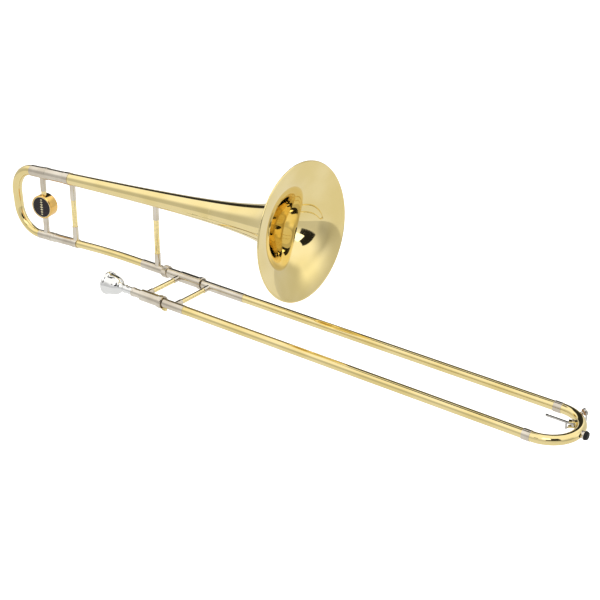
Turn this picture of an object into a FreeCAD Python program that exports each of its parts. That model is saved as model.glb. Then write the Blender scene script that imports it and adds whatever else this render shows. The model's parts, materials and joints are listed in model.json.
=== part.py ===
"""Tenor slide trombone, built as separate named pieces.

Row frame: the origin is the middle of the hand brace of the inner slide.  +X runs along the
slide to the bow, +Y to the bell-side slide tube, +Z up to the bell.  Lengths are millimetres.
"""
import FreeCAD
import Part
import Sketcher
import math
import os
from FreeCAD import Placement, Rotation, Vector

DRIVING_DIMENSIONS = [
    # slide tubes
    ("tube_spacing", 89.3, "slide tubes, centre to centre"),
    ("bore_width", 12.7, "bore of the slide"),
    ("inner_tube_width", 13.1, "inner slide tube, outside"),
    ("stocking_width", 13.42, "swollen end of the inner tube"),
    ("stocking_length", 120.0, "length of the swollen end"),
    ("inner_tube_end", 655.0, "where the inner tubes end"),
    ("outer_tube_bore", 13.54, "outer slide tube, inside"),
    ("outer_tube_width", 14.1, "outer slide tube, outside"),
    ("outer_tube_start", 17.0, "where the outer slide starts, inside the barrels"),
    ("outer_tube_end", 677.4, "where the outer tubes end, inside the bow ferrules"),
    ("sleeve_width", 14.9, "nickel sleeve over the outer tube"),
    ("long_sleeve_end", 132.0, "end of the bell-side sleeve"),
    ("short_sleeve_end", 85.5, "end of the mouthpiece-side sleeve"),
    # cork barrels and slide lock
    ("barrel_width", 18.4, "cork barrel, outside"),
    ("barrel_bore", 16.8, "cork barrel, inside"),
    ("barrel_ring_width", 21.0, "end ring of a barrel"),
    ("bell_barrel_end", 45.7, "mouth of the bell-side barrel"),
    ("lock_barrel_start", -3.6, "start of the mouthpiece-side barrel"),
    ("lock_barrel_end", 39.6, "mouth of the mouthpiece-side barrel"),
    ("lock_ring_start", 33.6, "back face of the slide lock ring"),
    ("lock_ring_end", 42.4, "front face of the slide lock ring"),
    ("cork_width", 16.6, "cork ring, outside"),
    ("cork_length", 11.0, "cork ring, length"),
    # mouthpiece and its receiver
    ("mouthpiece_rim_place", -79.0, "face of the mouthpiece rim"),
    ("mouthpiece_rim_width", 38.0, "mouthpiece rim, outside"),
    ("cup_width", 25.4, "inside of the mouthpiece rim"),
    ("throat_width", 6.6, "narrowest place of the mouthpiece"),
    ("receiver_mouth", -22.5, "open end of the mouthpiece receiver"),
    ("receiver_width", 14.2, "mouthpiece receiver, outside"),
    ("shank_width", 12.2, "shank of the mouthpiece at the receiver's mouth"),
    ("shank_end_width", 11.2, "end of the mouthpiece shank"),
    ("taper_gap", 0.05, "running gap of the tapers, on the radius"),
    ("leadpipe_length", 205.0, "length of the leadpipe"),
    # bell receiver, tenon and nut
    ("bell_receiver_mouth", -34.0, "open end of the bell receiver"),
    ("bell_receiver_width", 16.6, "bell receiver, outside"),
    ("tenon_width", 15.0, "tenon of the bell section, outside"),
    ("tenon_start", -84.0, "back end of the tenon"),
    ("nut_width", 20.6, "bell lock nut, outside"),
    ("nut_start", -36.6, "back face of the bell lock nut"),
    ("nut_end", -27.0, "front face of the bell lock nut"),
    # slide braces
    ("slide_brace_width", 8.0, "slide brace tube, outside"),
    ("slide_socket_width", 9.8, "slide brace socket, outside"),
    ("slide_socket_length", 11.0, "visible length of a slide brace socket"),
    ("outer_brace_place", 62.1, "place of the brace of the outer slide"),
    ("brace_wall", 0.8, "wall of the brace tubes"),
    # bow
    ("bow_start", 683.5, "where the bow's half circle starts"),
    ("bow_width", 14.6, "bow tube, outside"),
    ("bow_ferrule_start", 671.7, "back end of the bow ferrules"),
    ("bow_ferrule_width", 15.7, "bow ferrules, outside"),
    ("bumper_width", 13.5, "rubber bumper, outside"),
    ("bumper_tip", 742.6, "flat tip of the rubber bumper"),
    # bell section
    ("bell_mouth_x", 246.3, "middle of the bell mouth, along the slide"),
    ("bell_mouth_z", 142.6, "middle of the bell mouth, above the slide"),
    ("bell_tilt", 3.6, "bell axis against the slide, in degrees"),
    ("bell_width", 214.4, "bell rim, outside"),
    ("bell_wall", 0.5, "wall of the bell"),
    ("bell_seam", 170.0, "seam of flare and stem, behind the mouth"),
    ("bell_stem_end", 503.0, "end of the stem inside the tuning sleeve"),
    ("leg_spacing", 117.2, "tuning legs, centre to centre"),
    ("tuning_sleeve_start", 491.5, "front end of the tuning sleeves"),
    ("tuning_sleeve_end", 554.3, "back end of the tuning sleeves"),
    ("upper_leg_width", 19.3, "upper inner leg, outside"),
    ("lower_leg_width", 13.8, "lower inner leg, outside"),
    ("leg_gap", 0.05, "running gap of the tuning legs, on the radius"),
    ("sleeve_wall", 0.6, "wall of the tuning sleeves"),
    ("leg_start", 504.6, "front end of the inner legs"),
    ("crook_ferrule_start", 554.6, "front end of the crook ferrules"),
    ("crook_ferrule_end", 586.5, "back end of the crook ferrules"),
    ("upper_ferrule_wall", 0.3, "how far the upper crook ferrule stands out from its leg"),
    ("lower_ferrule_wall", 0.85, "how far the lower crook ferrule stands out from its leg"),
    ("lower_ferrule_room", 0.35, "room in the lower ferrule for the crook's taper"),
    ("crook_joint", 575.0, "where legs and crook meet inside the ferrules"),
    ("crook_bend", 46.5, "radius of the two bends of the crook"),
    ("crook_upper_width", 18.5, "crook at the upper leg, outside"),
    ("crook_lower_width", 14.2, "crook at the lower leg, outside"),
    ("neckpipe_width", 13.5, "neckpipe, outside"),
    ("neckpipe_bend", 45.0, "tangent length of the neckpipe's bend"),
    # bell braces and counterweight
    ("bell_brace_width", 8.8, "bell-section brace tubes, outside"),
    ("bell_socket_width", 10.2, "bell-section brace sockets, outside"),
    ("bell_brace_place", -51.0, "place of the brace between bell and tenon"),
    ("sleeve_brace_place", -241.5, "place of the brace between the sleeves"),
    ("tuning_brace_place", -314.5, "place of the brace of the tuning slide"),
    ("counterweight_width", 41.8, "counterweight, diameter"),
    ("counterweight_depth", 18.9, "counterweight, thickness"),
    ("counterweight_height", 46.5, "middle of the counterweight, above the slide"),
    ("counterweight_turn", 9.0, "counterweight turned round its brace, in degrees"),
    ("emblem_width", 37.4, "emblem disc, diameter"),
    ("emblem_depth", 1.2, "emblem disc, thickness"),
    # water key
    ("key_pivot_angle", 29.0, "pivot's place round the bow, in degrees from +X"),
    ("key_pivot_reach", 33.5, "pivot's distance from the bow's centre"),
    ("key_nipple_angle", 57.0, "nipple's place round the bow, in degrees from +X"),
    ("key_nipple_rise", 20.0, "nipple turned up round the tube, in degrees"),
    ("key_pin_width", 2.0, "pivot screw, diameter"),
    ("key_lever_length", 38.5, "finger lever, pivot to tip"),
]

# How the bell widens: radius = HORN_SCALE * (distance behind the mouth + HORN_LEAD) ** -HORN_POWER
HORN_POWER = 0.6145
HORN_LEAD = 10.78

PIN_GAP = 0.05
LUG_LEAN = 20
CLAW_LENGTH = 9.8
SHOULDER = 2.6


class Size:
    """A length with its value now and the sheet expression that drives it."""

    def __init__(self, value, text):
        self.value = value
        self.text = text

    def _joined(self, other, sign, value):
        return Size(value, f"({self.text} {sign} {text_of(other)})")

    def __add__(self, other):
        return self._joined(other, "+", self.value + number(other))

    def __sub__(self, other):
        return self._joined(other, "-", self.value - number(other))

    def __mul__(self, other):
        return self._joined(other, "*", self.value * number(other))

    def __truediv__(self, other):
        return self._joined(other, "/", self.value / number(other))

    def __neg__(self):
        return Size(-self.value, f"(0 - {self.text})")

    def __radd__(self, other):
        return Size(number(other) + self.value, f"({number(other)} + {self.text})")

    def __rsub__(self, other):
        return Size(number(other) - self.value, f"({number(other)} - {self.text})")

    def __rmul__(self, other):
        return Size(number(other) * self.value, f"({number(other)} * {self.text})")


def number(size):
    return size.value if isinstance(size, Size) else float(size)


def text_of(size):
    return size.text if isinstance(size, Size) else repr(float(size))


def of_angle(function, angle):
    """Sine, cosine or tangent of a size in degrees, kept as an expression."""
    value = getattr(math, function)(math.radians(number(angle)))
    return Size(value, f"{function}({text_of(angle)})")


class Via(tuple):
    """A point that an arc of an outline passes through, between its two corners."""


doc = FreeCAD.newDocument("trombone")
sheet = doc.addObject("Spreadsheet::Sheet", "sizes")
pieces = []


def fill_sheet():
    """Write the driving dimensions, and give them back by name."""
    sizes = {}
    for row, (alias, value, note) in enumerate(DRIVING_DIMENSIONS, start=1):
        sheet.set(f"A{row}", note)
        sheet.set(f"B{row}", str(value))
        sheet.setAlias(f"B{row}", alias)
        sizes[alias] = Size(value, f"sizes.{alias}")
    doc.recompute()
    return type("Sizes", (), sizes)


d = fill_sheet()
half_spacing = d.tube_spacing / 2
SHEET_START = 0.62
BEAD_RADIUS = 1.6
horn_scale = (d.bell_width.value / 2 - BEAD_RADIUS - 0.15) * (SHEET_START + HORN_LEAD) ** HORN_POWER


def bind(target, path, size):
    """Let the sheet drive one property of an object, where the size comes from the sheet."""
    if isinstance(size, Size):
        target.setExpression(path, size.text)


# Frames: a base point, a turning axis and an angle
ROW = ((0, 0, 0), (0, 0, 1), 0)
BELL_SIDE = ((0, half_spacing, 0), (0, 0, 1), 0)
MOUTHPIECE_SIDE = ((0, -half_spacing, 0), (0, 0, 1), 0)
BELL = ((d.bell_mouth_x, half_spacing, d.bell_mouth_z), (0, -1, 0), d.bell_tilt)
BOW = ((d.bow_start, 0, 0), (0, 0, 1), 0)


def put(target, frame):
    """Place an object in a frame, driven by the sheet."""
    base, axis, angle = frame
    target.Placement = Placement(Vector(*map(number, base)), Rotation(Vector(*axis), number(angle)))
    for letter, size in zip("xyz", base):
        bind(target, f"Placement.Base.{letter}", size)
    bind(target, "Placement.Rotation.Angle", angle)


def new_body(label, frame):
    body = doc.addObject("PartDesign::Body", label)
    body.Label = label
    put(body, frame)
    return body


def new_sketch(body, plane, name, offset=(0, 0, 0)):
    """Sketch on one of the body's own planes, moved in the plane by the offset."""
    sketch = body.newObject("Sketcher::SketchObject", f"{body.Name}_{name}")
    support = [item for item in body.Origin.OriginFeatures if item.Role == plane][0]
    sketch.AttachmentSupport = [(support, "")]
    sketch.MapMode = "FlatFace"
    sketch.AttachmentOffset = Placement(Vector(*map(number, offset)), Rotation())
    for letter, size in zip("xyz", offset):
        bind(sketch, f"AttachmentOffset.Base.{letter}", size)
    return sketch


def flat(point):
    return Vector(number(point[0]), number(point[1]), 0)


def arc_through(first, middle, last):
    """Arc through three points, drawn anticlockwise, and whether that runs from first to last."""
    circle = Part.Arc(first, middle, last).toShape().Curve
    centre = circle.Center
    forwards = (middle - first).cross(last - middle).z > 0
    begin, end = (first, last) if forwards else (last, first)
    angles = [math.atan2(point.y - centre.y, point.x - centre.x) for point in (begin, end)]
    if angles[1] < angles[0]:
        angles[1] += 2 * math.pi
    return Part.ArcOfCircle(Part.Circle(centre, Vector(0, 0, 1), circle.Radius), *angles), forwards


def draw_loop(sketch, loop):
    """Draw one closed outline; corners and arc radii are tied to the origin by the sheet."""
    edges = []
    for place, item in enumerate(loop):
        if isinstance(item, Via):
            continue
        following = loop[(place + 1) % len(loop)]
        if isinstance(following, Via):
            arc, forwards = arc_through(flat(item), flat(following), flat(loop[(place + 2) % len(loop)]))
            index = sketch.addGeometry(arc)
            edges.append((index, 1 if forwards else 2, 2 if forwards else 1, item, arc.Radius))
        else:
            index = sketch.addGeometry(Part.LineSegment(flat(item), flat(following)))
            edges.append((index, 1, 2, item, None))
    for place, (index, first, last, corner, radius) in enumerate(edges):
        after = edges[(place + 1) % len(edges)]
        sketch.addConstraint(Sketcher.Constraint("Coincident", index, last, after[0], after[1]))
    for index, first, last, corner, radius in edges:
        for kind, size in (("DistanceX", corner[0]), ("DistanceY", corner[1])):
            held = sketch.addConstraint(Sketcher.Constraint(kind, -1, 1, index, first, number(size)))
            bind(sketch, f"Constraints[{held}]", size)
        if radius is not None:
            sketch.addConstraint(Sketcher.Constraint("Radius", index, radius))


def lathe(label, frame, loops, along="X", offset=(0, 0, 0), kept=True):
    """Turn outlines given as (place along the axis, radius) round an axis of the frame."""
    body = new_body(label, frame)
    body.AllowCompound = True
    plane = "XY_Plane" if along == "Y" else "XZ_Plane"
    sketch = new_sketch(body, plane, "outline", offset)
    if not isinstance(loops[0], list):
        loops = [loops]
    for loop in loops:
        if along != "X":
            loop = [type(item)((item[1], item[0])) for item in loop]
        draw_loop(sketch, loop)
    turned = body.newObject("PartDesign::Revolution", f"{label}_turned")
    turned.Profile = sketch
    turned.ReferenceAxis = (sketch, ["H_Axis" if along == "X" else "V_Axis"])
    turned.Angle = 360
    if kept:
        pieces.append(body)
    return body


def tube(start, end, outer, inner):
    """Outline of a plain tube, from its two ends and two widths."""
    return [(start, inner / 2), (start, outer / 2), (end, outer / 2), (end, inner / 2)]


def rod(label, radius, length, frame):
    """Plain cylinder along the frame's Z, used for cutting and joining."""
    cylinder = doc.addObject("Part::Cylinder", label)
    cylinder.Radius = number(radius)
    cylinder.Height = number(length)
    bind(cylinder, "Radius", radius)
    bind(cylinder, "Height", length)
    put(cylinder, frame)
    return cylinder


def block(label, sides, frame):
    """Plain box from the frame's base point."""
    box = doc.addObject("Part::Box", label)
    for name, size in zip(("Length", "Width", "Height"), sides):
        setattr(box, name, number(size))
        bind(box, name, size)
    put(box, frame)
    return box


def piece(label):
    """A piece made before, by its label."""
    return [item for item in pieces if item.Label == label][0]


def joined(kind, label, shapes, kept=False):
    """Boolean of several objects: Part::MultiFuse or Part::MultiCommon."""
    result = doc.addObject(kind, label)
    result.Label = label
    result.Shapes = shapes
    if kept:
        pieces.append(result)
    return result


def cut(label, base, tool, kept=True):
    result = doc.addObject("Part::Cut", label)
    result.Label = label
    result.Base = base
    result.Tool = tool
    if kept:
        pieces.append(result)
    return result


# ---------------------------------------------------------------- inner slide

def inner_slide():
    """Receivers, inner tubes, cork barrels and hand brace: the part held in the left hand."""
    receiver_end = d.lock_barrel_start - 0.2
    shank_end = receiver_end - 1.0
    lathe("mouthpiece_receiver", MOUTHPIECE_SIDE, [
        (d.receiver_mouth, d.shank_width / 2 + d.taper_gap),
        (d.receiver_mouth, d.receiver_width / 2 + 0.5),
        (d.receiver_mouth + 3, d.receiver_width / 2 + 0.5),
        (d.receiver_mouth + 3.6, d.receiver_width / 2),
        (receiver_end, d.receiver_width / 2),
        (receiver_end, d.shank_end_width / 2 + d.taper_gap),
        (shank_end, d.shank_end_width / 2 + d.taper_gap)])
    lathe("leadpipe", MOUTHPIECE_SIDE, [
        (d.lock_barrel_start, d.shank_end_width / 2 + d.taper_gap),
        (d.lock_barrel_start, d.bore_width / 2 - 0.02),
        (d.lock_barrel_start + d.leadpipe_length, d.bore_width / 2 - 0.02),
        (d.lock_barrel_start + d.leadpipe_length, d.bore_width / 2 - 0.25)])
    sides = (("mouthpiece_side", MOUTHPIECE_SIDE, d.lock_barrel_start, d.lock_barrel_end),
             ("bell_side", BELL_SIDE, Size(0, "0"), d.bell_barrel_end))
    for side, frame, barrel_start, barrel_end in sides:
        stocking_start = d.inner_tube_end - d.stocking_length
        lathe(f"inner_tube_{side}", frame,
              tube(barrel_start, d.inner_tube_end, d.inner_tube_width, d.bore_width))
        lathe(f"stocking_{side}", frame,
              tube(stocking_start, d.inner_tube_end, d.stocking_width, d.inner_tube_width))
        cork_barrel(f"cork_barrel_{side}", frame, barrel_start, barrel_end, side == "bell_side")
        cork_start = barrel_start + SHOULDER
        lathe(f"cork_{side}", frame,
              tube(cork_start, cork_start + d.cork_length, d.cork_width, d.inner_tube_width))
    lathe("bell_receiver", BELL_SIDE, [
        (d.bell_receiver_mouth, d.tenon_width / 2 - 0.25 + d.taper_gap),
        (d.bell_receiver_mouth, d.bell_receiver_width / 2),
        (-0.2, d.bell_receiver_width / 2),
        (-0.2, d.bore_width / 2),
        (-5.0, d.bore_width / 2),
        (-5.0, d.tenon_width / 2 - 0.55 + d.taper_gap)])
    brace_across("hand_brace", Size(0, "0"), d.barrel_width / 2)


def cork_barrel(label, frame, start, end, ringed):
    """Barrel closed on the inner tube at its back and open to the outer slide at its mouth."""
    outside = [(start, d.barrel_width / 2)]
    if ringed:
        outside += [(end - 6, d.barrel_width / 2), (end - 5.4, d.barrel_ring_width / 2),
                    (end - 0.6, d.barrel_ring_width / 2), (end, d.barrel_ring_width / 2 - 0.6)]
    else:
        outside += [(end, d.barrel_width / 2)]
    lathe(label, frame, [(start, d.inner_tube_width / 2)] + outside + [
        (end, d.barrel_bore / 2),
        (start + SHOULDER, d.barrel_bore / 2),
        (start + SHOULDER, d.inner_tube_width / 2)])


def brace_across(label, place, tube_radius):
    """Brace tube between the two slide tubes with a coped socket at each end."""
    reach = half_spacing - tube_radius
    inner = d.slide_brace_width / 2 - d.brace_wall
    lathe(label, ROW, [(-reach + 1, inner), (-reach + 1, d.slide_brace_width / 2),
                       (reach - 1, d.slide_brace_width / 2), (reach - 1, inner)],
          along="Y", offset=(place, 0, 0))
    rings = []
    for near in (-1, 1):
        rings.append([((half_spacing - 4) * near, d.slide_brace_width / 2),
                      ((half_spacing - 4) * near, d.slide_socket_width / 2),
                      ((reach - d.slide_socket_length) * near, d.slide_socket_width / 2),
                      ((reach - d.slide_socket_length) * near, d.slide_brace_width / 2)])
    blank = lathe(f"{label}_socket_blank", ROW, rings, along="Y", offset=(place, 0, 0), kept=False)
    tools = [rod(f"{label}_tube_{side}", tube_radius, 40,
                 ((place - 20, half_spacing * near, 0), (0, 1, 0), 90))
             for side, near in (("near", -1), ("far", 1))]
    cut(f"{label}_sockets", blank, joined("Part::MultiFuse", f"{label}_tubes", tools))


# ---------------------------------------------------------------- mouthpiece and slide lock

def mouthpiece():
    """Turned cup mouthpiece with a tapered shank."""
    rim = d.mouthpiece_rim_place
    rim_radius = d.mouthpiece_rim_width / 2
    cup = d.cup_width / 2
    throat = d.throat_width / 2
    tip = d.lock_barrel_start - 1.4
    lathe("mouthpiece", MOUTHPIECE_SIDE, [
        (rim + 1.6, cup),
        Via((rim, cup + 3.0)),
        (rim + 1.8, rim_radius - 0.3),
        Via((rim + 3.2, rim_radius)),
        (rim + 4.6, rim_radius - 0.3),
        (rim + 7.2, rim_radius - 2.0),
        Via((rim + 20.0, rim_radius - 4.3)),
        (rim + 28.5, 10.2),
        Via((rim + 31.2, 7.5)),
        (rim + 36.4, d.shank_width / 2 + 0.2),
        Via((rim + 39.6, d.shank_width / 2 + 1.1)),
        (rim + 42.8, d.shank_width / 2 + 0.1),
        (d.receiver_mouth, d.shank_width / 2),
        (tip, d.shank_end_width / 2),
        (tip, d.shank_end_width / 2 - 0.8),
        (rim + 34.0, throat),
        (rim + 26.0, throat),
        Via((rim + 19.5, cup - 4.6))])


def slide_lock():
    """Ring that turns on the barrel; its claw catches the lug of the outer slide."""
    ring = lathe("slide_lock_collar", MOUTHPIECE_SIDE, [
        (d.lock_ring_start, d.barrel_width / 2 + PIN_GAP),
        (d.lock_ring_start, d.barrel_ring_width / 2 - 0.6),
        (d.lock_ring_start + 0.6, d.barrel_ring_width / 2),
        (d.lock_ring_end - 0.6, d.barrel_ring_width / 2),
        (d.lock_ring_end, d.barrel_ring_width / 2 - 0.6),
        (d.lock_ring_end, d.barrel_bore / 2),
        (d.lock_barrel_end + 0.2, d.barrel_bore / 2),
        (d.lock_barrel_end + 0.2, d.barrel_width / 2 + PIN_GAP)], kept=False)
    claw_end = d.lock_ring_end + CLAW_LENGTH
    shell = lathe("slide_lock_claw_shell", MOUTHPIECE_SIDE,
                  tube(d.lock_ring_end - 1, claw_end, d.barrel_ring_width - 0.2, Size(16.9, "16.9")),
                  kept=False)
    arm = block("slide_lock_arm", (CLAW_LENGTH + 1, 2.4, 12.0),
                ((d.lock_ring_end - 1, -half_spacing, 0), (1, 0, 0), 180 + 58 - LUG_LEAN))
    finger = block("slide_lock_finger", (2.0, 3.0, 12.0),
                   ((claw_end - 2.0, -half_spacing, 0), (1, 0, 0), 180 + 45 - LUG_LEAN))
    claw = joined("Part::MultiCommon", "slide_lock_claw",
                  [shell, joined("Part::MultiFuse", "slide_lock_reach", [arm, finger])])
    joined("Part::MultiFuse", "slide_lock_ring", [ring, claw], kept=True)


# ---------------------------------------------------------------- outer slide

def outer_slide():
    """Outer tubes, nickel sleeves, brace, bow and bumper: the part moved by the right hand."""
    sides = (("mouthpiece_side", MOUTHPIECE_SIDE, d.short_sleeve_end),
             ("bell_side", BELL_SIDE, d.long_sleeve_end))
    for side, frame, sleeve_end in sides:
        lathe(f"outer_tube_{side}", frame,
              tube(d.outer_tube_start, d.outer_tube_end, d.outer_tube_width, d.outer_tube_bore))
        lathe(f"grip_sleeve_{side}", frame,
              tube(d.outer_tube_start, sleeve_end, d.sleeve_width, d.outer_tube_width))
        lathe(f"bow_ferrule_{side}", frame, [
            (d.bow_ferrule_start, d.outer_tube_width / 2),
            (d.bow_ferrule_start, d.bow_ferrule_width / 2),
            (d.bow_start, d.bow_ferrule_width / 2),
            (d.bow_start, d.outer_tube_bore / 2),
            (d.outer_tube_end, d.outer_tube_bore / 2),
            (d.outer_tube_end, d.outer_tube_width / 2)])
    brace_across("slide_brace", d.outer_brace_place, d.sleeve_width / 2)
    lock_lug()
    slide_bow()
    bumper()


def lock_lug():
    """Small brass lug under the mouthpiece-side sleeve, coped to it."""
    width = 5.6
    lean = math.radians(LUG_LEAN)
    base = (d.lock_ring_end + 1.2, -half_spacing + width / 2 * math.cos(lean), -width / 2 * math.sin(lean))
    lug = block("lock_lug_blank", (6.0, width, 11.6), (base, (1, 0, 0), 180 - LUG_LEAN))
    sleeve = rod("lock_lug_sleeve", d.sleeve_width / 2, 30,
                 ((d.lock_ring_end - 10, -half_spacing, 0), (0, 1, 0), 90))
    cut("lock_lug", lug, sleeve)


def slide_bow():
    """Half circle of tube that joins the two outer tubes."""
    body = new_body("slide_bow", BOW)
    sketch = new_sketch(body, "YZ_Plane", "section")
    for name, width in (("outer", d.bow_width), ("inner", d.outer_tube_bore)):
        index = sketch.addGeometry(Part.Circle(flat((half_spacing, 0)), Vector(0, 0, 1), width.value / 2))
        sketch.addConstraint(Sketcher.Constraint("PointOnObject", index, 3, -1))
        held = sketch.addConstraint(Sketcher.Constraint("DistanceX", -1, 1, index, 3, half_spacing.value))
        bind(sketch, f"Constraints[{held}]", half_spacing)
        held = sketch.addConstraint(Sketcher.Constraint("Diameter", index, width.value))
        bind(sketch, f"Constraints[{held}]", width)
    turned = body.newObject("PartDesign::Revolution", "slide_bow_turned")
    turned.Profile = sketch
    turned.ReferenceAxis = (sketch, ["V_Axis"])
    turned.Angle = 180
    turned.Reversed = True
    pieces.append(body)


def bumper():
    """Holder soldered to the outside of the bow, with a rubber bumper pressed into it."""
    crown = d.bow_start + half_spacing
    blank = lathe("bumper_holder_blank", ROW, [
        (crown, 0), (crown, 5.4), (crown + 9.6, 5.4), (crown + 9.6, 3.3),
        (crown + 8.6, 3.3), (crown + 8.6, 0)], kept=False)
    ring_body = doc.addObject("Part::Torus", "bumper_holder_bow")
    ring_body.Radius1 = half_spacing.value
    ring_body.Radius2 = d.bow_width.value / 2
    bind(ring_body, "Radius1", half_spacing)
    bind(ring_body, "Radius2", d.bow_width / 2)
    put(ring_body, BOW)
    cut("bumper_holder", blank, ring_body)
    lathe("rubber_bumper", ROW, [
        (crown + 8.7, 0), (crown + 8.7, 3.2), (crown + 9.7, 3.2), (crown + 9.7, d.bumper_width / 2 - 0.8),
        Via((crown + 9.95, d.bumper_width / 2 - 0.25)), (crown + 10.5, d.bumper_width / 2),
        (d.bumper_tip - 1.6, d.bumper_width / 2 - 0.5),
        Via((d.bumper_tip - 0.45, d.bumper_width / 2 - 0.95)), (d.bumper_tip, d.bumper_width / 2 - 2.1),
        (d.bumper_tip, 0)])


# ---------------------------------------------------------------- water key

KEY_EAR_GAP = 6.8
KEY_EAR_DEPTH = 1.4
KEY_ARM_DROP = 9.9
KEY_TUBE_REACH = 7.2


def bow_point(reach, angle, height=0.0):
    """A point of the slide plane at a distance and angle from the bow's centre."""
    return (d.bow_start + reach * of_angle("cos", angle), reach * of_angle("sin", angle), height)


def water_key():
    """Spit valve of the bow: nipple, saddle, screw and spring, lever and cork."""
    pin = d.key_pin_width / 2
    pivot = bow_point(d.key_pivot_reach, d.key_pivot_angle)
    ear_top = KEY_EAR_GAP / 2 + KEY_EAR_DEPTH
    bow_solid = Part.makeTorus(half_spacing.value, d.bow_width.value / 2)
    bow_solid.Placement = Placement(Vector(d.bow_start.value, 0, 0), Rotation())
    saddle = Part.makeBox(12.0, 6.4, 2 * ear_top, Vector(-6.0, -3.2, -ear_top))
    slot = Part.makeBox(10.1, 8.0, KEY_EAR_GAP, Vector(-7.0, -4.0, -KEY_EAR_GAP / 2))
    hole = Part.makeCylinder(pin.value + 0.01, 20, Vector(0, 0, -10))
    saddle = saddle.cut(slot).cut(hole)
    saddle.Placement = Placement(Vector(*map(number, pivot)),
                                 Rotation(Vector(0, 0, 1), d.key_pivot_angle.value))
    feature("water_key_saddle", saddle.cut(bow_solid))

    lathe("water_key_screw", ROW, [
        (-ear_top - 0.4, 0), (-ear_top - 0.4, pin), (ear_top, pin), (ear_top, pin + 0.9),
        (ear_top + 1.2, pin + 0.9), (ear_top + 1.2, 0)], along="Z", offset=(pivot[0], 0, -pivot[1]))
    lathe("water_key_spring", ROW, [
        (1.9, pin + 0.35), (1.9, pin + 1.3), (KEY_EAR_GAP / 2 - 0.2, pin + 1.3),
        (KEY_EAR_GAP / 2 - 0.2, pin + 0.35)], along="Z", offset=(pivot[0], 0, -pivot[1]))
    key_nipple(bow_solid)
    key_lever(pivot, pin.value)


def feature(label, shape, placement=None):
    """Keep a shape made with Part's own functions as one piece."""
    held = doc.addObject("Part::Feature", label)
    held.Label = label
    held.Shape = shape
    if placement is not None:
        held.Placement = placement
    pieces.append(held)
    return held


def nipple_placement():
    """Frame at the bow tube's centre whose X axis points out along the nipple."""
    base = bow_point(half_spacing, d.key_nipple_angle)
    turn = Rotation(Vector(0, 0, 1), d.key_nipple_angle.value)
    rise = Rotation(Vector(0, 1, 0), -d.key_nipple_rise.value)
    return Placement(Vector(*map(number, base)), turn.multiply(rise))


def key_nipple(bow_solid):
    """Short nipple on the outer wall of the bow, drilled through."""
    along = Vector(1, 0, 0)
    nipple = Part.makeCylinder(2.8, 4.6, Vector(5.6, 0, 0), along)
    nipple = nipple.cut(Part.makeCylinder(1.7, 12, Vector(0, 0, 0), along))
    nipple.Placement = nipple_placement()
    feature("water_key_nipple", nipple.cut(bow_solid))


def key_lever(pivot, pin):
    """Finger lever with its hub, the arm under the tube and the cork cup on the far side."""
    centre = Vector(*map(number, pivot))
    hub_bottom = -KEY_EAR_GAP / 2 + 0.2
    hub = Part.makeCylinder(2.7, 1.6 - hub_bottom, Vector(0, 0, hub_bottom))
    bar = Part.makeBox(d.key_lever_length.value, 2.6, 2.4, Vector(-d.key_lever_length.value, -1.3, -1.6))
    tab = Part.makeCylinder(1.7, 2.4, Vector(-d.key_lever_length.value, 0, -1.6))
    lever = hub.fuse([bar, tab])
    lever.translate(centre)
    place = nipple_placement()
    cup_back = 14.9
    cup = Part.makeCylinder(5.2, cup_back - 11.2, Vector(11.2, 0, 0), Vector(1, 0, 0))
    cup = cup.cut(Part.makeCylinder(4.6, 2.3, Vector(11.2, 0, 0), Vector(1, 0, 0)))
    cup.Placement = place
    start = centre + Vector(-9.5, 0, -1.2)
    finish = place.multVec(Vector(cup_back + 0.3, 0, -2.6))
    low_start = Vector(start.x, start.y, -KEY_ARM_DROP)
    low_finish = Vector(finish.x, finish.y, -KEY_ARM_DROP)
    arm = []
    for first, second in ((start, low_start), (low_start, low_finish), (low_finish, finish)):
        arm.append(Part.makeCylinder(1.3, first.distanceToPoint(second), first, second - first))
    for corner in (low_start, low_finish):
        arm.append(Part.makeSphere(1.3, corner))
    lever = lever.fuse([cup] + arm).removeSplitter()
    lever = lever.cut(Part.makeCylinder(pin + PIN_GAP, 20, centre + Vector(0, 0, -10)))
    feature("water_key_lever", lever)
    cork = Part.makeCylinder(4.55, 3.1, Vector(10.35, 0, 0), Vector(1, 0, 0))
    feature("water_key_cork", cork, place)


# ---------------------------------------------------------------- bell

def horn_radius(behind):
    """Outer radius of the bell at a distance behind its mouth."""
    return horn_scale * (behind + HORN_LEAD) ** -HORN_POWER


def horn_curve(first, last, count, inset):
    """Spline of the bell's outline between two places, inset along its normal."""
    points = []
    for step in range(count + 1):
        share = (step / count) ** 2.2
        behind = first + (last - first) * share
        radius = horn_radius(behind)
        slope = -HORN_POWER * radius / (behind + HORN_LEAD)
        scale = inset / math.hypot(1, slope)
        points.append(Vector(-(behind + slope * scale), 0, radius - scale))
    curve = Part.BSplineCurve()
    curve.interpolate(points)
    return curve.toShape()


def turned_face(edges):
    """Solid turned round X from edges that follow each other; the gaps are closed by lines."""
    wire_edges = []
    for place, edge in enumerate(edges):
        wire_edges.append(edge)
        end = edge.valueAt(edge.LastParameter)
        following = edges[(place + 1) % len(edges)]
        begin = following.valueAt(following.FirstParameter)
        if end.distanceToPoint(begin) > 1e-7:
            wire_edges.append(Part.LineSegment(end, begin).toShape())
    face = Part.Face(Part.Wire(wire_edges))
    return face.revolve(Vector(0, 0, 0), Vector(1, 0, 0), 360)


def backwards(edge):
    curve = edge.Curve.copy()
    curve.reverse()
    return curve.toShape()


def in_bell_frame():
    base, axis, angle = BELL
    return Placement(Vector(*map(number, base)), Rotation(Vector(*axis), number(angle)))


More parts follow.
